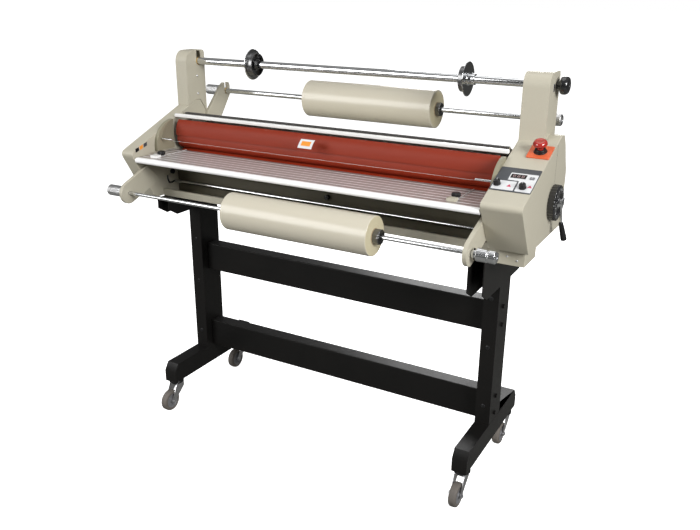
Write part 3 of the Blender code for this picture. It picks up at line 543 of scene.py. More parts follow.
def row_of_screws(name, places, axis, finish, radius=4, slot=""):
    piece(name, [screw_head(place, axis, radius) for place in places], finish, slot=slot)


COLUMN_FACE = -50
for side, sign in SIDES.items():
    places = [(sign * 556, COLUMN_FACE, z) for z in (600, 440, 240)]
    row_of_screws(f"stand_plugs_{side}", places, "front", black_plastic, 7, slot="black_steel")
    bolts = [(sign * 556, y, 786.6) for y in (-150, 120)]
    row_of_screws(f"head_bolts_{side}", bolts, "z", black_plastic, 6.5, slot="black_steel")
print("stand done")

# %% [markdown]
# A caster turns in a ball race under the foot. Its pressed fork, eased from the CAD, straddles a
# wheel with a plastic hub and a grey tread, and the axle has a nut each side.

# %% Casters
CASTER_YS = {"front": -205, "rear": 185}
for side, sign in SIDES.items():
    for end, y in CASTER_YS.items():
        tag = f"{end}_{side}"
        softened(f"caster_fork_{tag}", zinc, 0.6)
        race = [(0, -1.2), (24.5, -1.2), (26.2, -4), (26.2, -9), (24.6, -10.5)]
        race += [(0, -10.5)]
        top = turned(race, (sign * 556, y, 107), "z", 48)
        piece(f"caster_race_{tag}", top, black_plastic, f"caster_{tag}", slot="zinc")
        axle = (sign * 556, y - 40, 38)
        tyre = [(26.2, 11.8), (29, 12.5), (34, 11.8), (36.8, 9.5), (37.9, 5)]
        piece(f"caster_tyre_{tag}", turned(mirrored(tyre), axle), tread, f"wheel_{tag}",
              f"caster_wheel_{tag}")
        hub = [(5.2, 12.8), (8.5, 12.8), (10, 9.5), (21.5, 8.5), (24, 10.8)]
        hub += [(26.8, 11.2)]
        hub = turned(mirrored(hub), axle)
        piece(f"caster_hub_{tag}", hub, grey_plastic, f"wheel_{tag}", slot="tyre")
        nut = [(7.2 * math.cos(a), 7.2 * math.sin(a)) for a in np.arange(6) * math.pi / 3]
        nuts = [drawn(nut, *span, "x", axle) for span in ((17.4, 21.4), (-21.4, -17.4))]
        piece(f"caster_nuts_{tag}", nuts, zinc, f"caster_{tag}", bevel=0.5)
print("casters done")

# %% [markdown]
# ## The side housings
# Each housing is a deep box of folded sheet whose side view gives the machine its look: an
# undercut front, a rounded nose, a long sloping top and a back that falls away. It is drawn as one
# outline with generous corner radii and carried across the housing's width.

# %% Housings
HOUSING_INNER = 585
HOUSING_OUTER = {"left": 632, "right": 696}
HOUSING_LOW = {"left": 786.3, "right": 808.5}


def slope_height(y):
    return SLOPE_FOOT[2] + SLOPE_RISE * (y - SLOPE_FOOT[1])


def housing_side_view(low):
    corners = [(-208, low), (-303.5, slope_height(-303.5)), (27, slope_height(27))]
    corners += [(52, 1082.5), (73.5, 1053), (94, 1006), (112, 972), (112, low)]
    return rounded(corners, (2, 19.5, 3, 6, 4, 2, 8, 2), 7)


for side, sign in SIDES.items():
    span = sorted((sign * HOUSING_INNER, sign * HOUSING_OUTER[side]))
    shell = drawn(housing_side_view(HOUSING_LOW[side]), *span)
    piece(f"housing_{side}_shell", shell, beige_powder, "frame", f"housing_{side}", 2.8)
    # The shield bracket plate takes the darker beige coat as painted shade.
    rim = [(-108, 942), (-108, 1038), *arc((-108, 952), 86, 90, 172, 24)]
    rim += [(-193.5, 942)]
    plate = drawn(rim, *sorted((sign * 573.7, sign * 585.6)))
    piece(f"shield_bracket_{side}", plate, shaded_beige_powder, bevel=0.8)

base = block((587.2, -189.8, 764.7), (683.5, -88, 811))
piece("base_box", base, beige_powder, bevel=1.8)
places = [(606, -189.8, 783), (634, -189.8, 789), (662, -189.8, 781)]
row_of_screws("base_box_screws", places, "front", zinc, 3.2)
seam = block((695.5, -10.6, 810), (696.15, -9.8, 858.5))
seam_top = block((695.5, -10.6, 957.5), (696.15, -9.8, 1064))
piece("housing_right_seam", [seam, seam_top], black_plastic, slot="beige")
print("housings done")

# %% [markdown]
# The posts carry the rewind rod. The left one is open at the top, so that the rod lifts out of a
# bronze seat, and keeps its CAD shape with the slot. The right one has a large radius at its front
# and an adjusting slot with a dark bush.

# %% Posts
softened("post_left", beige_powder, 0.5)
POST_OUTER, ROD_Y, ROD_Z = 659, 54, 1214.5
corners = [(-12, slope_height(-12) - 2), (27, slope_height(27) - 2)]
corners += [(53, 1081.5), (75, 1051.5), (85, 1029), (85, 1251), (-12, 1251)]
outline = rounded(corners, (1, 1, 1, 1, 1, 14, 40), 12)
post = drawn(outline, HOUSING_INNER, POST_OUTER)
piece("post_right_shell", post, beige_powder, "frame", "post_right", 3)
oval = [*arc((30, 1213.5), 6.2, 0, 180, 12), *arc((30, 1203.5), 6.2, 180, 360, 12)]
ring = drawn(oval, POST_OUTER - 1, POST_OUTER + 0.8)
piece("post_right_slot", ring, grey_plastic, bevel=0.3)
hollow = [*arc((30, 1213.5), 4.5, 0, 180, 12), *arc((30, 1203.5), 4.5, 180, 360, 12)]
piece("post_right_slot_inside", drawn(hollow, POST_OUTER, POST_OUTER + 1), gloss_black)
bushes = {"left": -HOUSING_INNER + 0.9, "right": HOUSING_INNER - 0.9}
for side, x in bushes.items():
    profile = [(10.4, -1.2), (13.8, -1.2), (13.8, 1.2), (10.4, 1.2)]
    bush = turned(profile, (x, ROD_Y, ROD_Z), "x", 48, 0.4)
    piece(f"rod_bush_{side}", bush, brass)
screws = [(-HOUSING_INNER - 0.2, 42, 1105), (-HOUSING_INNER - 0.2, 42, 1165)]
row_of_screws("post_left_screws", screws, "x", zinc)

# %% [markdown]
# Two arms reach forward and down to hold the lower film shaft, and two rise behind the machine and
# hold the upper one in an open notch. They and the folded covers keep their CAD shapes with eased
# edges. The panel under the table lies in deep shade, so its inner half gets a shaded tone.

# %% Arms and covers
for side in SIDES:
    softened(f"film_arm_lower_{side}", beige_powder, 1.4)
    softened(f"film_arm_upper_{side}", beige_powder, 1.4)
softened("rear_cover", beige_powder, 0.5)
softened("top_cover", beige_powder, 0.5)

panel_finish = Finish("front_panel_coat", GREIGE, 0.45)
_, depth_in, height = panel_finish.shares()
inside = (depth_in > -0.16) * (height > 0.7875)
coat = panel_finish.blend(panel_finish.noise(7.0, detail=5.0), GREIGE, (0.465, 0.435, 0.345))
panel_finish.let({"Base Color": panel_finish.blend(inside, coat, (0.115, 0.103, 0.068))})
panel_finish.let({"Roughness": panel_finish.noise(7.0) * 0.12 + 0.38})
panel_coat = panel_finish.bump(panel_finish.noise(900.0, detail=2.0), 0.25, 0.0002).material
softened("front_panel", panel_coat, 0.4)
knob = [(0, 13.5), (5.5, 13.5), (7.8, 12), (8.2, 4), (7, 0), (0, 0)]
piece("front_panel_latch", turned(knob, (20.6, -89, 845), "front", 32), gloss_black)
places = [(x, 110, 860) for x in np.linspace(-540, 540, 7)]
row_of_screws("rear_cover_screws", places, "rear", zinc)
print("arms and covers done")

# %% [markdown]
# ## Rollers
# A roller is a steel tube with a rubber or silicone sleeve, journals that run in the housings, and
# a sprocket on the driven ones. Sleeve and steel are separate pieces that turn together.

# %% Heated and pull rollers
NIP_Z, TUBE_END = 938.2, 558
# Radius, place, side of the nip, finish, half lengths of sleeve and steel, and sprocket.
ROLLERS = {
    "heat_roller_bottom": (36, -70, -1, silicone, 560, 620, 26),
    "heat_roller_top": (36, -70, 1, silicone, 563.5, 572, 0),
    "pull_roller_bottom": (30, 55, -1, roller_rubber, 560, 620, 24),
    "pull_roller_top": (30, 55, 1, roller_rubber, 560, 620, 24),
}
for name, (radius, y, above, finish, reach, end, sprocket) in ROLLERS.items():
    place = (0, y, NIP_Z + above * (radius + 0.15))
    sleeve = mirrored([(radius - 6, reach), (radius - 1.2, reach), (radius, reach - 1.2)])
    piece(f"{name}_sleeve", turned(sleeve, place, "x", 96), finish, name, name)
    steel = [(0, end), (10, end), (10, TUBE_END), (radius - 5, TUBE_END)]
    shells = [turned(mirrored(steel), place, "x", 48)]
    if sprocket:
        rim = [(9, 614), (sprocket, 614), (sprocket, 606), (9, 606)]
        shells.append(turned(rim, place, "x", 96, 0.5, 24, 3))
    piece(f"{name}_core", shells, turned_steel, name)
softened("nip_yoke", dark_steel, 0.5)
idler = cylinder(6.5, -584.7, 584.7, (0, -106, 824))
piece("idler_rod_turned", idler, chrome, "idler_rod", "idler_rod")
print("rollers done")

# %% [markdown]
# ## The feed table and its guides
# The table is one aluminium extrusion with a bullnose at the operator's edge and six milled
# grooves to lay sheets along. Its section is drawn with the real grooves and carried across the
# machine. Each paper guide is a clamp block with a knob, and a clear wedge blade behind it.

# %% Table and paper guides
section = [(-106, TABLE_TOP - 4.5), (-106, TABLE_TOP)]
for number in range(6):
    y = GROOVE_FIRST - GROOVE_STEP * number
    section += [(y + 1.7, TABLE_TOP), (y + 1.5, TABLE_TOP - 0.3)]
    section += [(y - 1.5, TABLE_TOP - 0.3), (y - 1.7, TABLE_TOP)]
section += [*arc((-282.5, TABLE_TOP - 8.5), 8.5, 90, 270, 24)]
section += [(-268, TABLE_TOP - 17), (-268, TABLE_TOP - 4.5)]
table = drawn(section, -582.2, 582.2)
piece("feed_table_extrusion", table, brushed_aluminium, "table", "feed_table", sharp=28)

for side, x, finish in (("left", -530, white_plastic), ("right", 493, beige_powder)):
    low = TABLE_TOP + 0.3
    foot = block((x - 13, -262, low), (x + 13, -238, low + 8), cut=3)
    piece(f"paper_guide_{side}_block", foot, finish, f"guide_{side}", f"paper_guide_{side}", 0.8)
    wedge = [(x - 9, -244), (x + 9, -244), (x + 9, -110), (x - 4, -110)]
    blade = drawn(rounded(wedge, 2), low, low + 2.8, "z")
    piece(f"paper_guide_{side}_blade", blade, acrylic, f"guide_{side}", bevel=0.4)
    # A white strip on the blade's straight edge is a painted highlight, the polished edge catching
    # the light.
    stripe = [(x + 7.6, -238), (x + 9, -238), (x + 9, -110.4), (x + 7.6, -110.4)]
    piece(f"paper_guide_{side}_bright_edge_glint", drawn(stripe, low + 0.6, low + 3, "z"), white_edge_highlight,
          f"guide_{side}")
    knob = [(0, 13.8), (7, 14), (10.8, 13), (12.5, 10.5), (12.5, 3)]
    knob += [(10, 0.2), (0, 0.2)]
    place = (x, -223, low + 3.3)
    piece(f"guide_knob_{side}_turned", turned(knob, place, "z", 96, 1.2, 24, 0.7), black_plastic,
          f"clamp_{side}", f"guide_knob_{side}")
print("table done")

# %% [markdown]
# ## The clear shield
# A sheet of acrylic bent over the hot roller, so that fingers stay out and the film can be
# watched. It is a curved slab on an arc. A thin white strip along its lower edge is a piece of its
# own: a painted highlight where the polished edge catches the light. It hangs from a white bar.
# Under the bar a red apron falls to the roller, and behind it lies a seal.

# %% Shield, bar and its label
SHIELD_AT, SHIELD_OUT, SHIELD_IN = (-98.5, 963), 77.5, 75


def shield_band(outer, inner, first, last, near, far, steps=40):
    """A slab between two radii and two angles of the shield's arc, from near to far across."""
    outside, inside = ((outer, first, last), (inner, last, first))
    outline = [*arc(SHIELD_AT, *outside, steps), *arc(SHIELD_AT, *inside, steps)]
    return drawn(outline, near, far)


sheet = shield_band(SHIELD_OUT, SHIELD_IN, 78, 167.7, -569.7, 569.7)
piece("shield_sheet", sheet, acrylic, "shield", "shield", 0.4)
# The lower edge strip is a painted highlight: opaque white where the polished edge catches light.
lip = shield_band(SHIELD_OUT, SHIELD_IN, 167.7, 168, -569.7, 569.7, 2)
piece("shield_edge_highlight", lip, white_edge_highlight, "shield")
share = np.linspace(0, 1, 17)[:, None]
front = (1 - share) ** 2 * (-89.5, 1034.5) + share ** 2 * (-108.5, 985)
front += 2 * share * (1 - share) * (-108, 1025)
apron = drawn([*front, *(front[::-1] + (1.2, -0.4))], -564, 564)
piece("roller_apron", apron, silicone, bevel=0.3)
seal = block((-572.2, -47.2, 1042.5), (572.2, -36, 1051.9))
step = block((-572.2, -37.2, 1044), (572.2, -30, 1047.6))
piece("cover_seal", [seal, step], roller_rubber, bevel=0.4)
pins = [cylinder(3, -23, 23, (x, -173.5, 982), 24) for x in (-548, 548)]
piece("shield_pins", pins, chrome, "shield", slot="steel")
bar = block((-583.8, -89.8, 1040.8), (583.8, -76.2, 1051.8))
piece("shield_bar_moulding", bar, white_plastic, "shield", "shield_bar", 2.2)


def label_on_shield(near, far, first, last, lift):
    return shield_band(SHIELD_OUT + lift, SHIELD_OUT - 0.4, first, last, near, far, 10)


LABEL_X = -18.5
label = label_on_shield(LABEL_X - 24, LABEL_X + 24, 123, 147, 0.2)
piece("shield_label", label, label_white, "shield")
mark = label_on_shield(LABEL_X - 16, LABEL_X + 16, 129, 141, 0.4)
piece("shield_label_mark", mark, label_orange, "shield")
print("shield done")

# %% [markdown]
# ## Film supply
# A roll of film sits on a shaft between two arms. A chuck grips its card core, and a knob at the
# shaft's right end sets the drag. The left end carries a fixed knurled collar. All of it is turned,
# and each material is its own piece on the shaft's body.

# %% Film shafts, rolls, chucks and tension knobs
SUPPLIES = {
    "lower": ((0, -334, 832), 6, 56, (-169.3, 310.9), film_lower, 20, chrome),
    "upper": ((0, 185, 1100), 8.5, 60, (-211.7, 257.1), film_upper, 16, turned_steel),
}
ARM_OUT, CORE = 584.7, 19.5
for level, (place, shaft, radius, (near, far), finish, wide, knob_finish) in SUPPLIES.items():
    body = f"film_supply_{level}"
    rod = [(0, 650), (shaft - 1, 650), (shaft - 1, ARM_OUT + 1)]
    rod += [(shaft, ARM_OUT + 0.5), (shaft, -ARM_OUT - 1), (0, -ARM_OUT - 1)]
    piece(f"film_shaft_{level}_rod", turned(rod, place), chrome, body,
          f"film_shaft_{level}")
    collar = [(4, -585.3), (11, -585.3), (11, -600), (16.8, -600)]
    collar += [(17.8, -601.2), (17.8, -655.4), (16.6, -656.6), (6, -656.6)]
    collar += [(5.5, -654), (0, -654), (0, -585.3)]
    piece(f"film_collar_{level}", turned(collar, place, "x", 120, 0.6, 40, 0.4), turned_steel, body)
    roll = [(CORE + 2.8, far), (radius - 1.4, far), (radius, far - 1.4)]
    roll += [(radius, near + 1.4), (radius - 1.4, near), (CORE + 2.8, near)]
    piece(f"film_roll_{level}_wound", turned(roll, place, "x", 128), finish, body,
          f"film_roll_{level}")
    core = [(CORE + 0.2, far + 1.2), (CORE + 3, far + 1.2)]
    core += [(CORE + 3, near - 1.2), (CORE + 0.2, near - 1.2)]
    piece(f"film_core_{level}", turned(core, place), card, body)
    bore, end = shaft + 0.2, far + wide
    chuck = [(bore, end - 4), (shaft + 4, end - 4), (shaft + 5, end)]
    chuck += [(CORE + 1.2, end), (CORE + 1.9, end - 1.2), (CORE + 1.9, far + 1.6)]
    chuck += [(CORE - 0.2, far + 1.4), (CORE - 0.2, near + 10), (bore, near + 10)]
    piece(f"core_chuck_{level}_turned", turned(chuck, place, "x", 96, 0.8, 12, 1), chuck_steel,
          body, f"core_chuck_{level}", slot="black_plastic")
    grip = 17.8
    knob = [(shaft - 0.6, 652.2), (grip - 3.5, 652.2), (grip, 649), (grip, 633)]
    knob += [(grip - 2.2, 632), (grip - 2.2, 629), (grip, 628), (grip, 601)]
    knob += [(grip - 1, 600), (11.5, 600), (11.5, ARM_OUT + 3.3)]
    knob += [(shaft + 1.4, ARM_OUT + 3.3), (shaft - 0.6, ARM_OUT + 2.4)]
    piece(f"tension_knob_{level}_turned", turned(knob, place, "x", 120, 0.6, 30, 0.5), knob_finish,
          f"tension_knob_{level}", f"tension_knob_{level}")
    pin = tube(between(np.add(place, (593.5, 0, -15)), np.add(place, (593.5, 0, 15))), 2.2)
    piece(f"tension_pin_{level}", pin, black_plastic, f"tension_knob_{level}", slot="steel")
notch = turned([(8.9, -6.6), (10.6, -6.6), (10.6, 6.6), (8.9, 6.6)],
               (-578.7, 185, 1100), "x", 48, 0.3)
piece("film_arm_upper_left_bush", notch, brass)
print("film supply done")

# %% [markdown]
# ## Rewind rod
# The plain chromed rod takes up the waste web. A disc slides to each end of the take-up core: a
# thin chromed flange with a collar outside, and inside a dark ring on six ribs that enters the
# core. A glossy mushroom knob outside the right post clamps the rod.

# %% Rewind rod, discs and knob
ROD = (0, ROD_Y, ROD_Z)
rod = [(0, POST_OUTER + 30), (6, POST_OUTER + 30), (6, POST_OUTER - 2)]
rod += [(10, POST_OUTER - 2), (10, 584), (12, 584), (12, -584)]
rod += [(10, -584), (10, -603), (0, -603)]
piece("rewind_rod_turned", turned(rod, ROD), chrome, "rewind_rod", "rewind_rod")
knob = [(6.4, 34), (9, 35.8), (15, 35.2), (21.5, 32.8), (25, 26)]
knob += [(25, 16.5), (22, 12), (10.8, 11), (10.5, 0.4), (6.4, 0.4)]
knob = turned(knob, (POST_OUTER, ROD_Y, ROD_Z), "x", 96, 2.2)
piece("rewind_knob_turned", knob, gloss_black, "rewind_knob", "rewind_knob")
cap = turned([(0, 34.5), (6.2, 34.5), (6.4, 30), (0, 30)],
             (POST_OUTER, ROD_Y, ROD_Z), "x", 32)
piece("rewind_knob_cap", cap, chrome, "rewind_knob")


def facing(side, shell, x):
    """On the left side, the shell turned end for end about x, so that it faces the middle."""
    points, faces = shell
    return (points * (-1, 1, 1) + (2 * x, 0, 0), faces) if side == "left" else shell


for side, x in (("left", -352), ("right", 402)):
    place = (x, ROD_Y, ROD_Z)
    flange = [(12.3, 24), (15.8, 24), (16.4, 22.5), (16.4, 4.5), (19, 3)]
    flange += [(48, 3), (50, 2), (50, 0.8), (48.5, 0), (12.3, 0)]
    screw = tube(between((x + 13.5, ROD_Y, ROD_Z + 15), (x + 13.5, ROD_Y, ROD_Z + 21)), 2.2)
    shells = [facing(side, turned(flange, place, "x", 96), x), facing(side, screw, x)]
    piece(f"rewind_disc_{side}_flange", shells, chrome, f"rewind_disc_{side}",
          f"rewind_disc_{side}")
    ring = [(34.5, 0.5), (38, 0.5), (37.2, -16.8), (34.5, -16.8)]
    hub = [(12.3, 0.5), (17.2, 0.5), (17.2, -16.8), (12.3, -16.8)]
    shells = [turned(ring, place, "x", 96), turned(hub, place, "x", 48)]
    points, faces = block((16.5, -1.2, -16), (35.2, 1.2, 0), "x")
    for turn in np.radians(30 + 60 * np.arange(6)):
        spin = np.array(Matrix.Rotation(turn, 3, "X"))
        shells.append((points @ spin.T + place, faces))
    piece(f"rewind_disc_{side}_ribs", [facing(side, shell, x) for shell in shells], chuck_steel,
          f"rewind_disc_{side}")
print("rewind done")

# %% [markdown]
# ## Controls
# The emergency stop is a red mushroom on an orange plate, with a black collar round its stem. The
# mushroom's top is slightly dished for the palm. The slate overlay carries a display, a small
# rocker and two knobs. Its pale areas and marks are thin labels with no lettering.

# %% Emergency stop
def slope_point(x, up):
    return SLOPE_FOOT + x * ALONG[0] + up * SLOPE_UP


STOP = slope_point(663.3, 199.2)
plate = block((-30.8, -30.3, 0.3), (30.8, 30.3, 4.5), "slope", STOP, 3)
piece("estop_plate", plate, orange_plastic, "frame", "estop_base", 0.8)
collar = [(10, 14), (13.5, 14), (15, 12.5), (15.8, 6), (18.5, 4.7)]
collar += [(18.5, 3.5), (10, 3.5)]
piece("estop_collar", turned(collar, STOP, "slope", 64), black_plastic)
cap = [(0, 37.2), (7, 37.5), (11.8, 38.5), (16, 36.6), (18.6, 32.5)]
cap += [(19.5, 29), (19, 26.2), (15.2, 23.6), (12.5, 20.5), (9.2, 19.4)]
cap += [(9, 10), (0, 10)]
piece("estop_mushroom", turned(cap, STOP, "slope", 96, 1.6), red_gloss, "estop_button",
      "estop_button")

# %% Panel overlay, labels, display and rocker
def on_slope(outline, near, far):
    return drawn(outline, near, far, "slope", SLOPE_FOOT)


overlay = block((586.2, 8, 0.3), (694.8, 115, 1.5), "slope", SLOPE_FOOT, 4)
piece("panel_overlay", overlay, overlay_slate, "frame", "control_panel", 0.3)
left_area = [(588, 52.5), (646.5, 53.5), (647.5, 13), (589.5, 12.5)]
right_area = [(620, 92), (692.5, 92), (693, 12), (652, 12), (650.5, 58), (620, 58)]
labels = [on_slope(rounded(area, 2), 1.4, 1.68) for area in (left_area, right_area)]
piece("panel_labels", labels, label_white)
marks = [on_slope([(x - 6.2, s - 5), (x + 6.2, s - 5), (x, s + 5.8)], 1.5, 1.9)
         for x, s in ((632, 33), (684.5, 38.5))]
piece("panel_marks", marks, label_red)


def dashes(centre, inner, outer, half, first, last, count):
    """Outlines of marks round a centre, from one radius to another, evenly spread in degrees."""
    for turn in np.radians(np.linspace(first, last, count)):
        way, off = np.array([np.cos(turn), np.sin(turn)]), np.array([-np.sin(turn), np.cos(turn)])
        ends = ((inner, -half), (outer, -half), (outer, half), (inner, half))
        yield [np.array(centre) + way * r + off * w for r, w in ends]


KNOBS = {"temperature_knob": (600, 33.6), "speed_knob": (668.4, 30.1)}
ticks = [on_slope(dash, 1.5, 1.75) for spot in KNOBS.values()
         for dash in dashes(spot, 11, 12.8, 0.3, -45, 225, 10)]
piece("panel_ticks", ticks, overlay_slate)

glass = block((623, 68.5, 1.1), (664, 86.5, 2.3), "slope", SLOPE_FOOT, 1)
piece("display_glass", glass, window_black, "frame", "display", 0.3)
STROKES = [((-1, 1), (1, 1)), ((-1, 0), (1, 0)), ((-1, -1), (1, -1)), ((-1, -1), (-1, 0)),
           ((-1, 0), (-1, 1)), ((1, -1), (1, 0)), ((1, 0), (1, 1))]
digits = []
for x in (632, 643.5, 655):
    for first, last in STROKES:
        a, b = (np.array([x, 77.5]) + np.array(end) * (2.8, 4.8) for end in (first, last))
        run = (b - a) / np.linalg.norm(b - a)
        a, b, off = a + run * 0.7, b - run * 0.7, np.array([-run[1], run[0]]) * 0.6
        digits.append(on_slope([a - off, b - off, b + off, a + off], 2.2, 2.45))
piece("display_digits", digits, segment)

key = block((674, 68.5, -4), (686, 78.5, 4.2), "slope", SLOPE_FOOT, 0.8)
piece("rocker_key", key, grey_plastic, "rocker_button", "rocker_button", 0.7)
dots = [cylinder(0.9, 4, 4.4, slope_point(680, up), 16, "slope", 0.1) for up in (71, 76)]
piece("rocker_dots", dots, label_white, "rocker_button")

# %% Panel knobs
for name, (x, s) in KNOBS.items():
    profile = [(0, 14.2), (5, 14.4), (7, 15), (8.4, 13.8), (9.2, 4.2)]
    profile += [(9.9, 3.2), (9.9, 1.8), (0, 1.8)]
    body = turned(profile, slope_point(x, s), "slope", 96, 0.6, 18, 0.7)
    ridge = block((x - 1.1, s - 6.6, 13.5), (x + 1.1, s + 6.8, 16), "slope", SLOPE_FOOT)
    piece(f"{name}_turned", [body, ridge], black_plastic, name, name)
    pointer = block((x - 0.5, s + 1, 15.8), (x + 0.5, s + 6.6, 16.2), "slope", SLOPE_FOOT)
    piece(f"{name}_pointer", pointer, label_white, name)
print("controls done")

# %% [markdown]
# ## Pressure dial and lever
# The black dial on the right housing closes the nip. Its rim is fluted for the hand, white marks
# show the pressure, and a bright hub with three lobes carries a bent arm with a black tapered
# grip. Arm and grip are round sections carried along bent paths.

# %% Dial and lever
DIAL = (0, -22, 908)
rim = [(0, 713.8), (29, 713.8), (31, 718), (46.5, 718), (50, 715)]
rim += [(50, 699), (48, 696.4), (0, 696.4)]
piece("pressure_dial_turned", turned(rim, DIAL, "x", 180, 1.2, 30, 1.6), gloss_black, "frame",
      "pressure_dial")
marks = [drawn(dash, 717.8, 718.3) for dash in dashes(DIAL[1:], 35, 42, 0.4, -60, 240, 13)]
piece("pressure_dial_marks", marks, label_white)

START = 715.3
hub = [(0, START + 13.8), (7.8, START + 14), (10.2, START + 11.8)]
hub += [(12, START + 4), (15, START + 1.2), (15, START), (0, START)]
shells = [turned(hub, DIAL, "x", 64, 1.5)]
top = np.array([START + 8, DIAL[1], DIAL[2]])
for turn in np.radians(30 + 120 * np.arange(3)):
    reach = np.array([0, np.cos(turn), np.sin(turn)]) * 25.5
    path = between(top, top + reach, 12)
    shells.append(tube(path, np.r_[np.linspace(6.2, 4, 10), 3.4, 2, 0.6], 24))
knee = top + (3, 4, -56)
bend = between(top, knee, 10)
shells.append(tube(bend, 3.5, 24))
piece("pressure_lever_hub", shells, chrome, "pressure_lever", "pressure_lever", slot="zinc")
tip = knee + (10, 18, -56)
grip = between(knee - (0.4, 0.8, -3), tip, 14)
swell = np.interp(np.linspace(0, 1, 15), (0, 0.05, 0.3, 0.9, 0.97, 1), (4, 6.2, 7.2, 8.8, 7.5, 2))
piece("pressure_lever_grip", tube(grip, swell, 40), black_plastic, "pressure_lever")
print("dial done")

# %% [markdown]
# ## Small things
# The left housing's inner wall carries three small plates, and under the table an arc slot with a
# knob that tilts the idler. The power inlet at the back has its recess and three pins. The motor
# and the control board are inside the right housing, and keep their CAD shapes.

# %% Plates, inlet and what is inside
inner = -HOUSING_INNER
plates = {"dark": (-274, gloss_black), "pale": (-255, label_orange), "grey": (-236, overlay_slate)}
for name, (y, finish) in plates.items():
    rise = 951.5 + 0.28 * (y + 274)
    left, right = y - 7.5, y + 7.5
    corners = [(left, rise), (right, rise + 4.2), (right, rise + 16), (left, rise + 11.8)]
    plate = drawn(rounded(corners, 1), inner - 0.4, inner + 0.8)
    piece(f"housing_left_plate_{name}", plate, finish, bevel=0.3, slot="overlay")
path = np.array([(-143, 852), (-142.5, 838), (-137, 824), (-122, 821.5), (-102, 827)])
fine = np.linspace(0, 4, 25)
path = np.stack([np.interp(fine, range(5), line) for line in path.T], 1)
path = rounded(path, 4, 2)[2:-2]
line = np.column_stack([np.full(len(path), inner + 0.2), path])
piece("housing_left_slot", tube(line, 3, 12), gloss_black)
knob = [(0, 9), (6, 9), (8.5, 7), (8.5, 0), (0, 0)]
piece("housing_left_knob", turned(knob, (inner, -120, 860), "x", 48, 0.8), black_plastic)

softened("power_inlet", black_plastic, 0.4)
pins = [block((x - 1, z - 3, 114.5), (x + 1, z + 3, 118.5), "rear")
        for x, z in ((-634, 850), (-640, 856), (-646, 850))]
piece("power_inlet_pins", pins, brass)
INSIDE = {"gear_motor": turned_steel, "control_board": board_green}
for name, finish in INSIDE.items():
    frame["nodes"][name].data.materials.clear()
    frame["nodes"][name].data.materials.append(finish)
print("small things done")

# %% [markdown]
# ## The studio
# The floor is plain and white. The light is a soft dome with two large lamps over the operator's
# shoulders, a weak one above and one behind. For reflections the dome darkens towards the horizon,
# so that chromed rods keep dark lines. The camera is to the operator's right, looking a bit down.

# %% Floor, light and camera
size = 60.0
floor_mesh = bpy.data.meshes.new("floor")
floor_mesh.from_pydata([(-size, -size, 0), (size, -size, 0), (size, size, 0), (-size, size, 0)], [],
                       [(0, 1, 2, 3)])
floor = bpy.data.objects.new("floor", floor_mesh)
bpy.context.scene.collection.objects.link(floor)
floor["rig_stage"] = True


def seen_or_lighting(nodes, links, seen, lighting):
    """Shows one shader to the eye and another to the light that bounces round the object."""
    ray = nodes.new("ShaderNodeLightPath")
    mix = nodes.new("ShaderNodeMixShader")
    links.new(ray.outputs["Is Camera Ray"], mix.inputs[0])
    links.new(lighting, mix.inputs[1])
    links.new(seen, mix.inputs[2])
    return mix.outputs[0]


paper = Finish("floor_paper", (0.9, 0.9, 0.9), 0.9, gloss=0.0)
paper.vary(paper.noise(2.0), (0.89, 0.89, 0.89))
paper.let({"Emission Color": (1.0, 1.0, 1.0, 1.0), "Emission Strength": 1.0})
dull = paper.nodes.new("ShaderNodeBsdfDiffuse")
dull.inputs[0].default_value = (0.22, 0.22, 0.21, 1.0)
shown = seen_or_lighting(paper.nodes, paper.links, paper.shader.outputs[0], dull.outputs[0])
paper.links.new(shown, paper.nodes["Material Output"].inputs["Surface"])
floor_mesh.materials.append(paper.material)

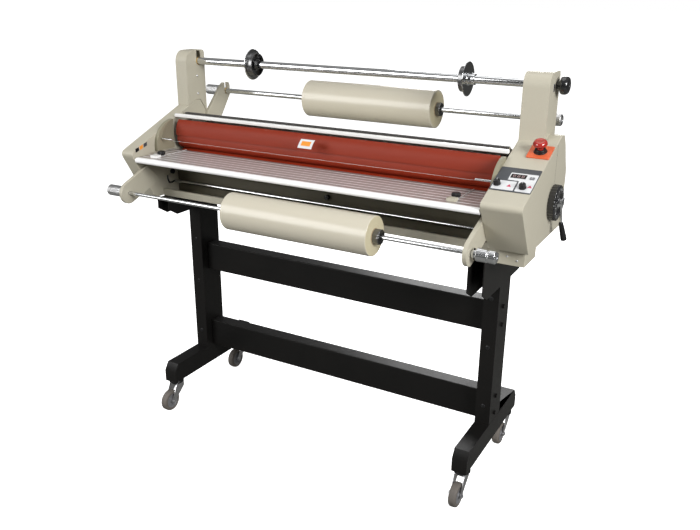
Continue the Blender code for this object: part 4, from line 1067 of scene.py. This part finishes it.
world = bpy.data.worlds.new("studio")
world.use_nodes = True
nodes, links = world.node_tree.nodes, world.node_tree.links
white = nodes["Background"]
white.inputs["Color"].default_value = (1.0, 1.0, 1.0, 1.0)
dome = nodes.new("ShaderNodeBackground")
way, height = nodes.new("ShaderNodeTexCoord"), nodes.new("ShaderNodeSeparateXYZ")
fade = nodes.new("ShaderNodeMapRange")
links.new(way.outputs["Generated"], height.inputs[0])
links.new(height.outputs["Z"], fade.inputs["Value"])
for socket, value in {"From Min": 0.0, "From Max": 0.9, "To Min": 0.05, "To Max": 0.42}.items():
    fade.inputs[socket].default_value = value
links.new(fade.outputs[0], dome.inputs["Strength"])
shown = seen_or_lighting(nodes, links, white.outputs[0], dome.outputs[0])
links.new(shown, nodes["World Output"].inputs["Surface"])
bpy.context.scene.world = world
bpy.context.scene.view_settings.view_transform = "Standard"


def lamp(name, place, aim, size, watts):
    data = bpy.data.lights.new(name, "AREA")
    data.energy, data.size = watts, size
    made = bpy.data.objects.new(name, data)
    bpy.context.scene.collection.objects.link(made)
    away = np.array(place) - np.array(aim)
    away = away / np.linalg.norm(away)
    side = np.cross((0, 0, 1.0), away)
    side /= np.linalg.norm(side)
    rows = np.column_stack([side, np.cross(away, side), away, place])
    made.matrix_world = Matrix([*rows.tolist(), [0, 0, 0, 1]])


lamp("key", (3.3, -1.5, 2.3), (0, 0, 0.9), 1.5, 135)
lamp("fill", (-2.0, -3.2, 2.2), (0, 0, 0.9), 2.2, 95)
lamp("top", (0.3, 0.2, 3.3), (0, 0, 0.9), 1.8, 14)
lamp("rear", (-0.6, 3.4, 2.2), (0, 0, 0.9), 1.8, 60)

YAW, PITCH, ROLL = (math.radians(angle) for angle in (28.9117, 20.0127, 0.584))
ahead = np.array([-math.sin(YAW), math.cos(YAW), 0.0])
sight = ahead * math.cos(PITCH) - ALONG[2] * math.sin(PITCH)
level = np.cross(sight, (0, 0, 1.0))
level /= np.linalg.norm(level)
up = np.cross(level, sight)
right = math.cos(ROLL) * level + math.sin(ROLL) * up
top = -math.sin(ROLL) * level + math.cos(ROLL) * up
eye = np.array([1.19741, -2.07461, 1.45999686]) + MIDDLE
camera = bpy.data.objects.new("camera", bpy.data.cameras.new("camera"))
camera.data.sensor_width, camera.data.lens = 36.0, 39.284
camera.matrix_world = Matrix([*np.column_stack([right, top, -sight, eye]).tolist(), [0, 0, 0, 1]])
bpy.context.scene.collection.objects.link(camera)
bpy.context.scene.camera = camera

# %% [markdown]
# Last comes the finished object's box.

# %% The finished box
low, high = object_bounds()
print("finished box", low[:], high[:])
